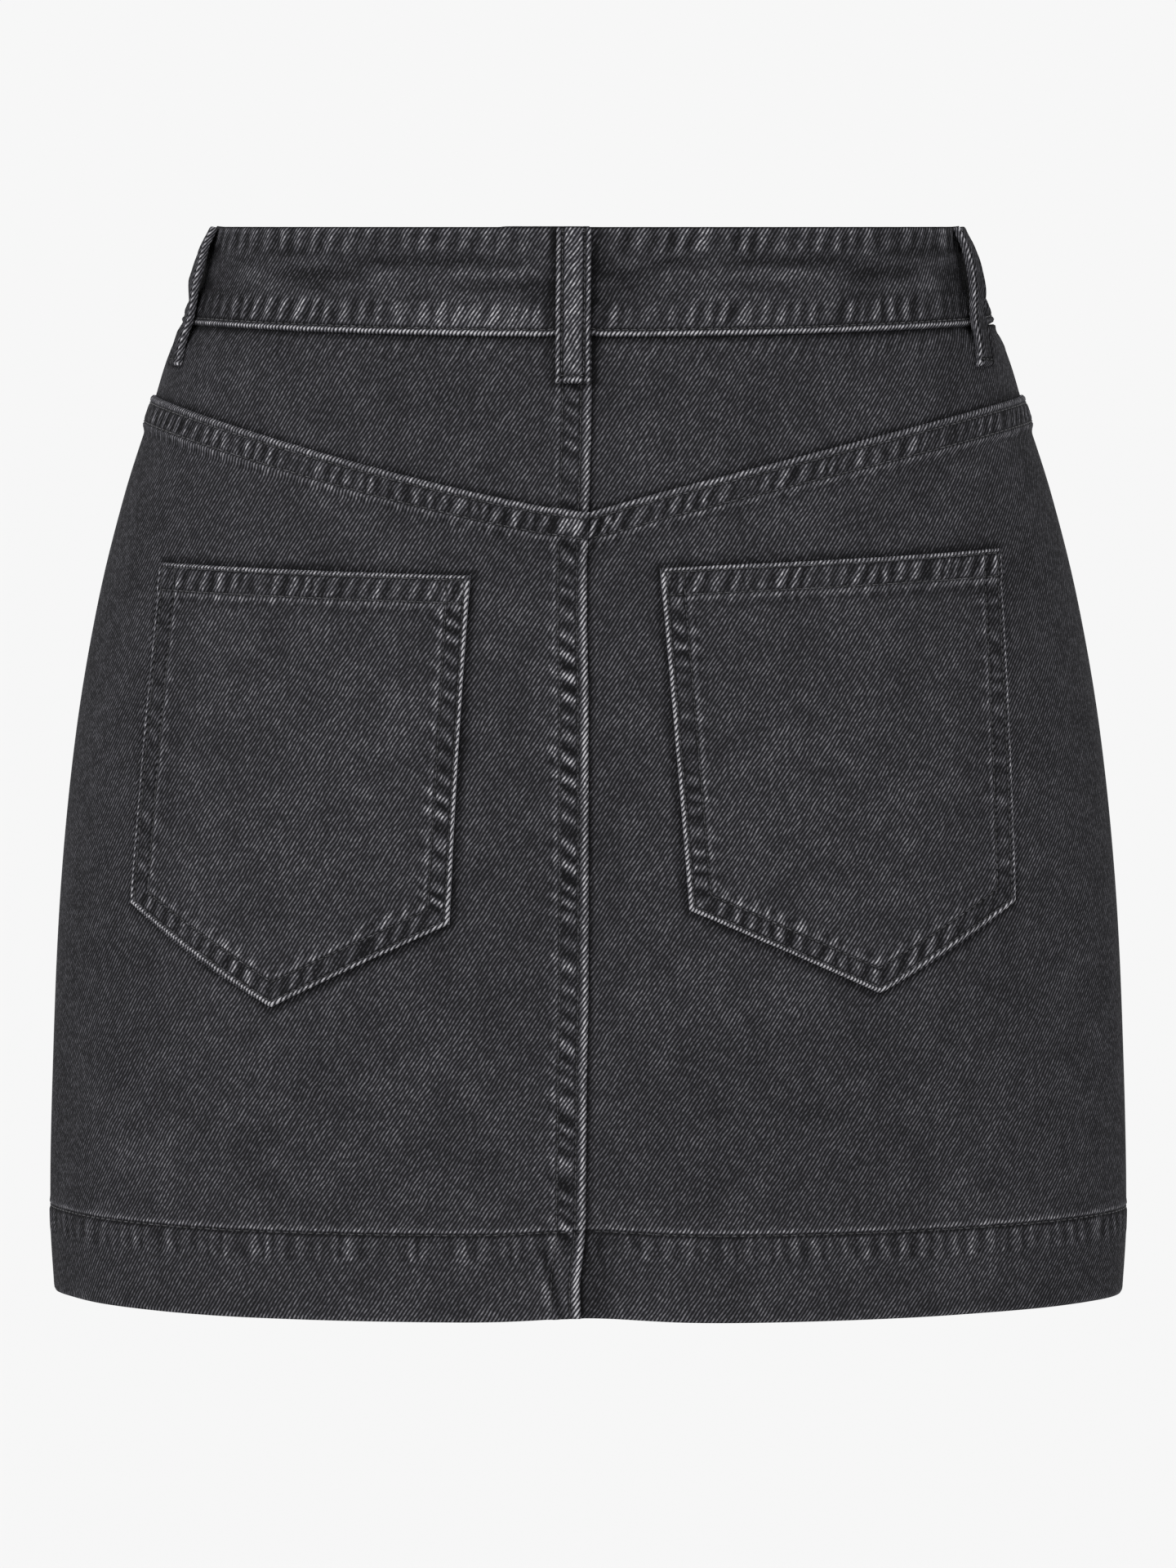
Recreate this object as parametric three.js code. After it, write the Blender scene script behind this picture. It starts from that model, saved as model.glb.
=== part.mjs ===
// A short denim skirt, filled out as it hangs on a wearer: two back panels under a pointed yoke,
// two front panels, a shaped waistband, two pointed patch pockets, belt loops and a shank button.
// Millimetres, +Z up. The origin is the middle of the waist, level with the waistband's top edge.
// The back faces -Y. Left and right are the wearer's, so the left side is at -X.
import * as THREE from "three";

// Cloth
const CLOTH = 1.2; // one layer of denim
const GAP = 0.3; // kept between two pieces
const STEP = CLOTH + GAP; // from one layer up to the layer that lies on it
const SLOPE = 4; // over which a piece comes down from what it laps over

// The whole skirt
const LENGTH = 401;
const HEM_DEPTH = 33; // turned up inside
const HEM_STEP = 2; // over which the cloth thickens at the hem's top
const HEM_PULL = 2; // by which the centre seams draw the hem up
const HEM_PULL_WIDTH = 26;
const HEM_RISE = 2.2; // of the sides over the middle
const ROUNDNESS = 2.1; // of a level section: 2 is an ellipse, and more is squarer
const SIDE_SEAM = 1.06; // in turns from the centre back, where 1 is the widest place
const SEAM_TURN = 0.002; // a side seam's gap, in turns

// Lapped seams at the centre back and centre front: the left piece lies on the right one
const LAP_EDGE = 0.6; // where the left piece ends, right of the middle
const LAP_BACK = 11.9;
const LAP_FLY = 31;
const FLY_END = 150; // below the waist
const FLY_CURVE = 30;
const LAP_SHORT = 0.8; // by which the hidden edge stops short of the lap
const LAP_CLEAR = 0.8; // from the left piece's edge to where the right one starts to come down

// Waistband
const BAND_CENTRE = 40.8; // height at the centre back and front
const BAND_SIDE = 37; // height at the sides
const BAND_LAP = 8; // of its outer layer over the cloth below
const BAND_THICK = 2.6;
const BAND_STEP = 0.8; // over which its inner face steps out to lap over the cloth

// Yoke seam: the back panels lap over the yoke
const YOKE_POINT = 104.8; // below the waist, at the centre back
const YOKE_SIDE = 63.6; // below the waist, at the side
const YOKE_CURVE_LEFT = 1.18; // a power: 1 is straight, and more sags towards the point
const YOKE_CURVE_RIGHT = 0.9; // less than 1 rises fast and levels off
const YOKE_LAP = 10;

// Pockets
const POCKET_LIFT = 0.4; // off the panel
const POCKET_HEM = 10;
const POCKET_HEM_STEP = 1.5; // over which the hem thins to one layer
const POCKET_HEM_THICK = 1.9;

// Belt loops and button
const LOOP_WIDTH = 12.6;
const LOOP_THICK = 2.6;
const BUTTON_WIDTH = 17;
const BUTTON_SHANK = 8;
const BUTTON_HEIGHT = 5;
const BUTTON_IN = 15; // from the waistband's end
const BUTTON_DOWN = 19;

// How finely the cloth is divided
const BACK_COLUMNS = 15;
const FRONT_COLUMNS = 14;
const PANEL_ROWS = 11;
const YOKE_ROWS = 4;
const POCKET_COLUMNS = 10;
const POCKET_ROWS = 8;
const LOOP_COLUMNS = 3;
const BUTTON_SIDES = 20;
const SETTLE_PASSES = 6;

// Level sections through the cloth's outer face: half the width, and the depth to the back and front.
const SECTIONS = [
  { z: 0, half: 136, back: 84, front: 84 },
  { z: -13, half: 139.4, back: 86.3, front: 85.6 },
  { z: -26, half: 144.6, back: 89.3, front: 87.4 },
  { z: -37, half: 149.6, back: 92.3, front: 89.2 },
  { z: -46, half: 155.8, back: 95.6, front: 91 },
  { z: -68, half: 162.9, back: 101.6, front: 94.4 },
  { z: -100, half: 173.2, back: 107.8, front: 98 },
  { z: -140, half: 183.2, back: 112.6, front: 100.2 },
  { z: -190, half: 191.8, back: 114.8, front: 101.4 },
  { z: -250, half: 197.8, back: 113.8, front: 101.2 },
  { z: -320, half: 200.9, back: 110.8, front: 100.4 },
  { z: -370, half: 201.7, back: 108.9, front: 99.8 },
  { z: -401, half: 200, back: 108.2, front: 99.4 },
];

// Soft upright folds: each fades in below its top and is fullest at the hem. turn is 0 at the centre
// back, 1 at the side and 2 at the centre front, and less than 0 on the left. out is less than 0 for
// a trough.
const FOLDS = [
  { turn: -1.72, top: -170, width: 0.13, out: 1.6 },
  { turn: -1.4, top: -120, width: 0.12, out: -1.8 },
  { turn: -1.12, top: -190, width: 0.1, out: 1.2 },
  { turn: -0.84, top: -110, width: 0.1, out: -1.5 },
  { turn: -0.47, top: -280, width: 0.12, out: 1.5 },
  { turn: -0.16, top: -230, width: 0.08, out: -1.1 },
  { turn: 0.2, top: -250, width: 0.1, out: 1.2 },
  { turn: 0.52, top: -290, width: 0.1, out: -1.3 },
  { turn: 0.86, top: -150, width: 0.1, out: 1.2 },
  { turn: 1.18, top: -160, width: 0.11, out: -1.7 },
  { turn: 1.47, top: -130, width: 0.12, out: 1.8 },
  { turn: 1.76, top: -210, width: 0.11, out: -1.5 },
];

// Pocket corners: how far across from the centre back, seen straight on, and how far down.
const POCKETS = {
  left: {
    topInner: { across: 42.7, down: 127.5 },
    topOuter: { across: 156.2, down: 124.3 },
    bottomInner: { across: 50.4, down: 254.4 },
    tip: { across: 115.9, down: 285.9 },
    bottomOuter: { across: 168, down: 249.7 },
  },
  right: {
    topInner: { across: 26.1, down: 124.6 },
    topOuter: { across: 150.5, down: 119 },
    bottomInner: { across: 36.9, down: 249.2 },
    tip: { across: 106.5, down: 280.6 },
    bottomOuter: { across: 156.7, down: 248.3 },
  },
};

// The inner face of a belt loop, off the skirt's skin. The loop at the back lies over the lapped seam.
const LOOP_OVER_SEAM = [
  { down: 0, off: 1.8 },
  { down: 5, off: 2 },
  { down: 11, off: 3.4 },
  { down: 19, off: 4.6 },
  { down: 29, off: 4.8 },
  { down: 37, off: 4.2 },
  { down: 41.5, off: 3.4 },
  { down: 46, off: 2 },
  { down: 49, off: 1.8 },
  { down: 57, off: 1.8 },
];
const LOOP_PLAIN = [
  { down: 0, off: 1.8 },
  { down: 3.5, off: 2.1 },
  { down: 9, off: 3.7 },
  { down: 16, off: 4.6 },
  { down: 24, off: 4.4 },
  { down: 32, off: 3.2 },
  { down: 40.5, off: 2 },
  { down: 44, off: 0.6 },
  { down: 47, off: 0.3 },
  { down: 52.5, off: 0.3 },
];
// Where the middle of each loop's two ends lies, in turns.
const LOOPS = [
  { name: "loop_back", top: -0.024, end: -0.022, path: LOOP_OVER_SEAM },
  { name: "loop_side_left", top: -0.965, end: -0.84, path: LOOP_PLAIN },
  { name: "loop_side_right", top: 0.925, end: 0.76, path: LOOP_PLAIN },
  { name: "loop_front_left", top: -1.5, end: -1.5, path: LOOP_PLAIN },
  { name: "loop_front_right", top: 1.5, end: 1.5, path: LOOP_PLAIN },
];

const denim = new THREE.MeshStandardMaterial({ color: 0x3b3a3d, roughness: 0.92, metalness: 0 });
const wornDenim = new THREE.MeshStandardMaterial({ color: 0x454548, roughness: 0.92, metalness: 0 });
const darkMetal = new THREE.MeshStandardMaterial({ color: 0x4a4a4c, roughness: 0.38, metalness: 1 });

const { clamp, lerp, smoothstep } = THREE.MathUtils;

// The rate at which a named size changes at one section.
function slopeAt(i, name) {
  const above = SECTIONS[Math.max(i - 1, 0)];
  const below = SECTIONS[Math.min(i + 1, SECTIONS.length - 1)];
  return (below[name] - above[name]) / (below.z - above.z);
}

// A named size between the sections, on a smooth curve through them.
function sizeAt(z, name) {
  let i = 0;
  while (i < SECTIONS.length - 2 && z < SECTIONS[i + 1].z) {
    i += 1;
  }
  const above = SECTIONS[i];
  const below = SECTIONS[i + 1];
  const height = below.z - above.z;
  const t = clamp((z - above.z) / height, 0, 1);
  const ease = t * t * (3 - 2 * t);
  const bend = slopeAt(i, name) * t * (1 - t) ** 2 - slopeAt(i + 1, name) * t * t * (1 - t);
  return lerp(above[name], below[name], ease) + height * bend;
}

// How far the folds push the cloth out at one place.
function foldAt(turn, z) {
  let out = 0;
  for (const fold of FOLDS) {
    const away = (turn - fold.turn) / fold.width;
    const grown = smoothstep(fold.top - z, 0, fold.top + LENGTH);
    out += fold.out * grown * Math.exp(-away * away);
  }
  return out;
}

// A point out from the skirt's skin, at a turn round it and a height.
function skin(turn, z, out) {
  const face = Math.abs(turn) < 1 ? "back" : "front";
  const half = sizeAt(z, "half");
  const depth = sizeAt(z, face);
  const across = Math.sin((turn * Math.PI) / 2);
  const deep = (1 - Math.abs(across) ** ROUNDNESS) ** (1 / ROUNDNESS);
  const toFace = face === "back" ? -1 : 1;
  const flare = (sizeAt(z + 1, "half") - sizeAt(z - 1, "half")) / 2;
  const swell = (sizeAt(z + 1, face) - sizeAt(z - 1, face)) / 2;
  const power = ROUNDNESS - 1;
  const normal = new THREE.Vector3(
    (Math.sign(across) * Math.abs(across) ** power) / half,
    (toFace * deep ** power) / depth,
    -(Math.abs(across) ** ROUNDNESS * flare) / half - (deep ** ROUNDNESS * swell) / depth,
  );
  const point = new THREE.Vector3(across * half, toFace * deep * depth, z);
  return point.addScaledVector(normal.normalize(), out + foldAt(turn, z));
}

// The turn at a distance across from the middle of the back, or of the front from one side.
function turnAcross(x, z, face, side) {
  const turn = (Math.asin(x / sizeAt(z, "half")) * 2) / Math.PI;
  return face === "back" ? turn : 2 * side - turn;
}

// The waistband's lower edge.
function bandEdge(turn) {
  return -lerp(BAND_SIDE, BAND_CENTRE, Math.cos((turn * Math.PI) / 2) ** 2);
}

// The yoke seam's height, where the back panels' top edges lie.
function yokeSeam(turn) {
  const across = Math.sin((turn * Math.PI) / 2);
  const power = across < 0 ? YOKE_CURVE_LEFT : YOKE_CURVE_RIGHT;
  return -lerp(YOKE_POINT, YOKE_SIDE, Math.abs(across) ** power);
}

// The hem's lower edge, drawn up a little at the centre seams and a little higher at the sides.
function hemEdge(turn) {
  const share = Math.sin((turn * Math.PI) / 2);
  const across = share * sizeAt(-LENGTH, "half");
  return -LENGTH + HEM_RISE * share ** 4 + HEM_PULL * Math.exp(-((across / HEM_PULL_WIDTH) ** 2));
}

// The width of the lap at the centre back, or of the fly and the seam below it.
function lapWidth(z, face) {
  if (face === "back") {
    return LAP_BACK;
  }
  return lerp(LAP_FLY, LAP_BACK, smoothstep(-z, FLY_END - FLY_CURVE, FLY_END));
}

// A closed wall from two faces: place(i, j) gives its outer and inner point at a column and a row.
function wall(columns, rows, place) {
  const points = [];
  for (const face of ["outer", "inner"]) {
    for (let j = 0; j < rows; j += 1) {
      for (let i = 0; i < columns; i += 1) {
        points.push(place(i, j)[face]);
      }
    }
  }
  const outer = (i, j) => j * columns + i;
  const inner = (i, j) => (rows + j) * columns + i;
  const faces = [];
  const addQuad = (a, b, c, d) => faces.push([a, b, c], [a, c, d]);
  const last = columns - 1;
  const foot = rows - 1;
  for (let j = 0; j < foot; j += 1) {
    for (let i = 0; i < last; i += 1) {
      addQuad(outer(i, j), outer(i + 1, j), outer(i + 1, j + 1), outer(i, j + 1));
      addQuad(inner(i, j), inner(i, j + 1), inner(i + 1, j + 1), inner(i + 1, j));
    }
  }
  for (let i = 0; i < last; i += 1) {
    addQuad(outer(i, 0), inner(i, 0), inner(i + 1, 0), outer(i + 1, 0));
    addQuad(outer(i, foot), outer(i + 1, foot), inner(i + 1, foot), inner(i, foot));
  }
  for (let j = 0; j < foot; j += 1) {
    addQuad(outer(0, j), outer(0, j + 1), inner(0, j + 1), inner(0, j));
    addQuad(outer(last, j), inner(last, j), inner(last, j + 1), outer(last, j + 1));
  }
  return facingOut(points, faces);
}

// A geometry of these faces, turned round together if they enclose less than nothing.
function facingOut(points, faces) {
  let volume = 0;
  for (const [a, b, c] of faces) {
    volume += points[a].dot(points[b].clone().cross(points[c]));
  }
  const index = faces.flatMap(([a, b, c]) => (volume > 0 ? [a, b, c] : [a, c, b]));
  const geometry = new THREE.BufferGeometry().setFromPoints(points);
  geometry.setIndex(index);
  geometry.computeVertexNormals();
  return geometry;
}

// The columns of a left or right piece, from the middle to its side seam. Those in the lap come first.
// lap is 1 where the piece lies in the lap, and 0 outside it.
function pieceColumns(side, count) {
  const inLap = side < 0 ? [0, 0.5, 1] : [1, 0.5, 0];
  const columns = inLap.map((part) => ({ part, share: 0, lap: 1 }));
  for (let k = 0; k <= count; k += 1) {
    columns.push({ part: null, share: k / count, lap: 0 });
  }
  return columns;
}

// The turn of a column at one height.
function columnTurn(column, z, face, side) {
  const width = lapWidth(z, face);
  const rest = side < 0 ? LAP_EDGE - width - SLOPE : LAP_EDGE + LAP_CLEAR + SLOPE;
  if (column.part === null) {
    const seam = side * (SIDE_SEAM + (face === "front" ? SEAM_TURN : 0));
    return lerp(turnAcross(rest, z, face, side), seam, column.share);
  }
  const nearEdge = side < 0 ? LAP_EDGE : LAP_EDGE + LAP_CLEAR;
  const farEdge = LAP_EDGE - width + (side < 0 ? 0 : LAP_SHORT);
  return turnAcross(lerp(nearEdge, farEdge, column.part), z, face, side);
}

// The height of a row in a column. Rows that follow a sloping edge need the turn, and the other way
// round, so this settles both together.
function settle(column, rowHeight, face, side) {
  let z = -LENGTH / 2;
  let turn;
  for (let pass = 0; pass < SETTLE_PASSES; pass += 1) {
    turn = columnTurn(column, z, face, side);
    z = rowHeight(turn);
  }
  return { turn, z };
}

// A panel, yoke or waistband section. Each row has a height(turn), and a lift and an inside that
// depend on how far the column lies in the lap, both measured out from the skin.
function piece(side, face, count, rows) {
  const columns = pieceColumns(side, count);
  return wall(columns.length, rows.length, (i, j) => {
    const column = columns[i];
    const row = rows[j];
    const { turn, z } = settle(column, row.height, face, side);
    return {
      outer: skin(turn, z, row.outer(column.lap)),
      inner: skin(turn, z, row.inner(column.lap)),
    };
  });
}

// The rows from one height down to the hem, with the turned-up hem inside. Where pieces lap, the
// hem stays one layer thick.
function rowsToHem(start, lift) {
  const hemTop = (turn) => hemEdge(turn) + HEM_DEPTH;
  const outer = (lap) => lap * lift;
  const single = (lap) => outer(lap) - CLOTH;
  const double = (lap) => outer(lap) - CLOTH * (2 - lap);
  const rows = [];
  for (let k = 1; k <= PANEL_ROWS; k += 1) {
    rows.push({ height: (turn) => lerp(start(turn), hemTop(turn), k / PANEL_ROWS), outer, inner: single });
  }
  rows.push({ height: (turn) => hemTop(turn) - HEM_STEP, outer, inner: double });
  rows.push({ height: (turn) => hemTop(turn) - HEM_DEPTH / 2, outer, inner: double });
  rows.push({ height: hemEdge, outer, inner: double });
  return rows;
}

// A back panel. Along its top it lies on the yoke, and at the centre back the left one lies on the
// right one, so there it lies on three layers.
function backPanel(side) {
  const onYoke = side < 0 ? (lap) => STEP * (1 + 2 * lap) : (lap) => STEP * (1 + lap);
  const plain = side < 0 ? (lap) => STEP * lap : () => 0;
  const covering = (lap) => onYoke(lap) - CLOTH;
  const below = (turn) => yokeSeam(turn) - YOKE_LAP - SLOPE;
  const rows = [
    { height: yokeSeam, outer: onYoke, inner: covering },
    { height: (turn) => yokeSeam(turn) - YOKE_LAP, outer: onYoke, inner: covering },
    { height: below, outer: plain, inner: (lap) => plain(lap) - CLOTH },
    ...rowsToHem(below, side < 0 ? STEP : 0),
  ];
  return piece(side, "back", BACK_COLUMNS, rows);
}

// Half of the yoke, from under the waistband to under the back panel.
function yoke(side) {
  const outer = side < 0 ? (lap) => STEP * lap : () => 0;
  const inner = (lap) => outer(lap) - CLOTH;
  const top = (turn) => bandEdge(turn) + BAND_LAP;
  const rows = [{ height: top, outer, inner }];
  for (let k = 0; k <= YOKE_ROWS; k += 1) {
    rows.push({ height: (turn) => lerp(bandEdge(turn), yokeSeam(turn), k / YOKE_ROWS), outer, inner });
  }
  rows.push({ height: (turn) => yokeSeam(turn) - YOKE_LAP + LAP_SHORT, outer, inner });
  return piece(side, "back", BACK_COLUMNS, rows);
}

// A front panel, from under the waistband to the hem. At the top of the fly the left one lies on the
// right half of the waistband too.
function frontPanel(side) {
  const plain = side < 0 ? (lap) => STEP * lap : () => 0;
  const underBand = side < 0 ? (lap) => 2 * STEP * lap : () => 0;
  const covered = (lap) => underBand(lap) - CLOTH;
  const clear = (turn) => bandEdge(turn) - LAP_CLEAR;
  const below = (turn) => clear(turn) - SLOPE;
  const rows = [
    { height: (turn) => bandEdge(turn) + BAND_LAP, outer: underBand, inner: covered },
    { height: clear, outer: underBand, inner: covered },
    { height: below, outer: plain, inner: (lap) => plain(lap) - CLOTH },
    ...rowsToHem(below, side < 0 ? STEP : 0),
  ];
  return piece(side, "front", FRONT_COLUMNS, rows);
}

// The rows of a waistband section: full thickness above, and its outer layer alone over the cloth
// below. lower and upper give the outer face there.
function bandRows(upper, lower) {
  const full = (lap) => upper(lap) - BAND_THICK;
  const single = (lap) => lower(lap) - CLOTH;
  const step = (turn) => bandEdge(turn) + BAND_LAP + GAP;
  return [
    { height: () => 0, outer: upper, inner: full },
    { height: (turn) => step(turn) / 3, outer: upper, inner: full },
    { height: (turn) => (step(turn) * 2) / 3, outer: upper, inner: full },
    { height: (turn) => step(turn) + BAND_STEP, outer: upper, inner: full },
    { height: step, outer: lower, inner: single },
    { height: bandEdge, outer: lower, inner: single },
  ];
}

// Half of the front waistband. At the fly the left half lies on the right half and on both panels.
function frontBand(side) {
  const level = side < 0 ? (lap) => STEP * (1 + 2 * lap) : () => STEP;
  return piece(side, "front", FRONT_COLUMNS, bandRows(level, level));
}

// The back waistband runs from side to side. Its lower edge rides up over the yoke's lapped seam.
function backBand() {
  const left = pieceColumns(-1, BACK_COLUMNS).filter(({ part }) => part !== 0);
  const right = pieceColumns(1, BACK_COLUMNS).filter(({ part }) => part === 0 || part === null);
  const columns = [
    ...left.reverse().map((column) => ({ column, side: -1 })),
    ...right.map((column) => ({ column, side: 1 })),
  ];
  const rows = bandRows(
    () => STEP,
    (lap) => STEP * (1 + lap),
  );
  return wall(columns.length, rows.length, (i, j) => {
    const { column, side } = columns[i];
    const row = rows[j];
    const { turn, z } = settle(column, row.height, "back", side);
    return {
      outer: skin(turn, z, row.outer(column.lap)),
      inner: skin(turn, z, row.inner(column.lap)),
    };
  });
}

// A patch pocket with a pointed end, laid on its panel's points.
function pocket(side, corners) {
  const at = ({ across, down }) => ({ turn: turnAcross(side * across, -down, "back", side), z: -down });
  const mix = (a, b, t) => ({ turn: lerp(a.turn, b.turn, t), z: lerp(a.z, b.z, t) });
  const topInner = at(corners.topInner);
  const topOuter = at(corners.topOuter);
  const bottomInner = at(corners.bottomInner);
  const bottomOuter = at(corners.bottomOuter);
  const tip = at(corners.tip);
  const middle = POCKET_COLUMNS / 2;
  const bottom = (i) => {
    const place = i / middle;
    return place < 1 ? mix(bottomInner, tip, place) : mix(tip, bottomOuter, place - 1);
  };
  const tipShare = (tip.turn - bottomInner.turn) / (bottomOuter.turn - bottomInner.turn);
  const top = (i) => {
    const share = i < middle ? (tipShare * i) / middle : lerp(tipShare, 1, i / middle - 1);
    return mix(topInner, topOuter, share);
  };
  const hemRows = [0, POCKET_HEM, POCKET_HEM + POCKET_HEM_STEP];
  return wall(POCKET_COLUMNS + 1, hemRows.length + POCKET_ROWS, (i, j) => {
    const start = top(i);
    const end = bottom(i);
    const deep = start.z - end.z;
    const below = (j + 1 - hemRows.length) / POCKET_ROWS;
    const down = j < hemRows.length ? hemRows[j] : lerp(hemRows.at(-1), deep, below);
    const { turn, z } = mix(start, end, down / deep);
    const thick = down > POCKET_HEM ? CLOTH : POCKET_HEM_THICK;
    return {
      outer: skin(turn, z, POCKET_LIFT + thick),
      inner: skin(turn, z, POCKET_LIFT),
    };
  });
}

// A belt loop: a strip that is sewn down at both ends and stands off the waistband between them.
function beltLoop({ top, end, path }) {
  const length = path.at(-1).down;
  return wall(LOOP_COLUMNS + 1, path.length, (i, j) => {
    const { down, off } = path[j];
    const middle = lerp(top, end, down / length);
    const nextTurn = middle + SEAM_TURN;
    const perTurn = skin(middle, -down, 0).distanceTo(skin(nextTurn, -down, 0)) / SEAM_TURN;
    const turn = middle + ((i / LOOP_COLUMNS - 0.5) * LOOP_WIDTH) / perTurn;
    return {
      outer: skin(turn, -down, off + LOOP_THICK),
      inner: skin(turn, -down, off),
    };
  });
}

// The button: a narrow shank that flares into a domed disc with a rolled rim. Radius and height are
// shares of the button's.
function buttonShape() {
  const shank = BUTTON_SHANK / BUTTON_WIDTH;
  const outline = [
    { radius: 0, height: 0 },
    { radius: shank, height: 0 },
    { radius: shank, height: 0.45 },
    { radius: 0.9, height: 0.5 },
    { radius: 1, height: 0.68 },
    { radius: 0.9, height: 0.9 },
    { radius: 0.72, height: 0.84 },
    { radius: 0.33, height: 1 },
    { radius: 0, height: 1 },
  ];
  const points = outline.map(({ radius, height }) => new THREE.Vector2(radius, height));
  const shape = new THREE.LatheGeometry(points, BUTTON_SIDES);
  return shape.scale(BUTTON_WIDTH / 2, BUTTON_HEIGHT, BUTTON_WIDTH / 2);
}

function addMesh(group, name, geometry, material) {
  const mesh = new THREE.Mesh(geometry, material);
  mesh.name = name;
  group.add(mesh);
  return mesh;
}

const skirt = new THREE.Group();
for (const [word, side] of [["left", -1], ["right", 1]]) {
  addMesh(skirt, `back_panel_${word}`, backPanel(side), denim);
  addMesh(skirt, `yoke_${word}`, yoke(side), denim);
  addMesh(skirt, `front_panel_${word}`, frontPanel(side), denim);
  addMesh(skirt, `waistband_front_${word}`, frontBand(side), denim);
  addMesh(skirt, `pocket_${word}`, pocket(side, POCKETS[word]), wornDenim);
}
addMesh(skirt, "waistband_back", backBand(), denim);
for (const loop of LOOPS) {
  addMesh(skirt, loop.name, beltLoop(loop), wornDenim);
}

const buttonTurn = turnAcross(LAP_EDGE - BUTTON_IN, -BUTTON_DOWN, "front", -1);
const buttonLift = 3 * STEP + GAP; // three layers of cloth lie under it
const buttonSeat = skin(buttonTurn, -BUTTON_DOWN, buttonLift);
const buttonAxis = skin(buttonTurn, -BUTTON_DOWN, buttonLift + 1).sub(buttonSeat);
const button = addMesh(skirt, "button", buttonShape(), darkMetal);
button.position.copy(buttonSeat);
button.quaternion.setFromUnitVectors(new THREE.Vector3(0, 1, 0), buttonAxis.normalize());

export default skirt;
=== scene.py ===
"""The looks of the denim skirt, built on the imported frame.

Lengths are in millimetres until a mesh is made. A place on the skirt is a turn round it (0 at the
centre back, 1 at its right side, 2 at the centre front, less than 0 on its left) and a height z.
"""

import math

import bpy
import numpy as np
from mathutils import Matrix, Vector


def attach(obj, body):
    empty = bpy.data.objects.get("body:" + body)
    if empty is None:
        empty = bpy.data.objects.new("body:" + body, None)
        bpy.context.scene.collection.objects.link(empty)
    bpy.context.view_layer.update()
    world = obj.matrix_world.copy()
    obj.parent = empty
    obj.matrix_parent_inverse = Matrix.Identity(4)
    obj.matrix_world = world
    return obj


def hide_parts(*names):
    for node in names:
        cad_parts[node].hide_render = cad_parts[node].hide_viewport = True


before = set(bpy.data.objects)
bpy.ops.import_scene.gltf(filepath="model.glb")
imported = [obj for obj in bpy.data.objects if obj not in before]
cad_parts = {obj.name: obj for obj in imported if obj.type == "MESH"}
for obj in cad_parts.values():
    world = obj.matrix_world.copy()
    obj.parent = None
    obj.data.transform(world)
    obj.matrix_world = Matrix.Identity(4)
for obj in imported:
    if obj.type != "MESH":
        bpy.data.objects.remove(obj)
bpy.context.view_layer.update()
MM = 0.001
QUARTER = math.pi / 2  # the angle of one turn
WORDS = {-1: "left", 1: "right"}

# The solids' sizes
CLOTH = 1.2
GAP = 0.3
STEP = CLOTH + GAP
SLOPE = 4
LENGTH = 401
HEM_DEPTH = 33
HEM_STEP = 2
HEM_PULL = 2
HEM_PULL_WIDTH = 26
HEM_RISE = 2.2
ROUNDNESS = 2.1
SIDE_SEAM = 1.06
SEAM_TURN = 0.002
LAP_EDGE = 0.6
LAP_BACK = 11.9
LAP_FLY = 31
FLY_END = 150
FLY_CURVE = 30
LAP_SHORT = 0.8
LAP_CLEAR = 0.8
BAND_CENTRE = 40.8
BAND_SIDE = 37
BAND_LAP = 8
BAND_THICK = 2.6
BAND_STEP = 0.8
YOKE_POINT = 104.8
YOKE_SIDE = 63.6
YOKE_CURVE_LEFT = 1.18
YOKE_CURVE_RIGHT = 0.9
YOKE_LAP = 10
POCKET_LIFT = 0.4
POCKET_HEM = 10
POCKET_HEM_STEP = 1.5
POCKET_HEM_THICK = 1.9
LOOP_WIDTH = 12.6
LOOP_THICK = 2.6
BUTTON_WIDTH = 17
BUTTON_SHANK = 8
BUTTON_HEIGHT = 5
BUTTON_IN = 15
BUTTON_DOWN = 19

# Height, half the width, depth to the back and depth to the front of the cloth's outer face
SECTIONS = np.array([
    (0, 136, 84, 84),
    (-13, 139.4, 86.3, 85.6),
    (-26, 144.6, 89.3, 87.4),
    (-37, 149.6, 92.3, 89.2),
    (-46, 155.8, 95.6, 91),
    (-68, 162.9, 101.6, 94.4),
    (-100, 173.2, 107.8, 98),
    (-140, 183.2, 112.6, 100.2),
    (-190, 191.8, 114.8, 101.4),
    (-250, 197.8, 113.8, 101.2),
    (-320, 200.9, 110.8, 100.4),
    (-370, 201.7, 108.9, 99.8),
    (-401, 200, 108.2, 99.4),
])
HALF, BACK, FRONT = 1, 2, 3

# Soft upright folds: turn, top, width in turns, how far out
FOLDS = [
    (-1.72, -170, 0.13, 1.6),
    (-1.4, -120, 0.12, -1.8),
    (-1.12, -190, 0.1, 1.2),
    (-0.84, -110, 0.1, -1.5),
    (-0.47, -280, 0.12, 1.5),
    (-0.16, -230, 0.08, -1.1),
    (0.2, -250, 0.1, 1.2),
    (0.52, -290, 0.1, -1.3),
    (0.86, -150, 0.1, 1.2),
    (1.18, -160, 0.11, -1.7),
    (1.47, -130, 0.12, 1.8),
    (1.76, -210, 0.11, -1.5),
]

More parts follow.
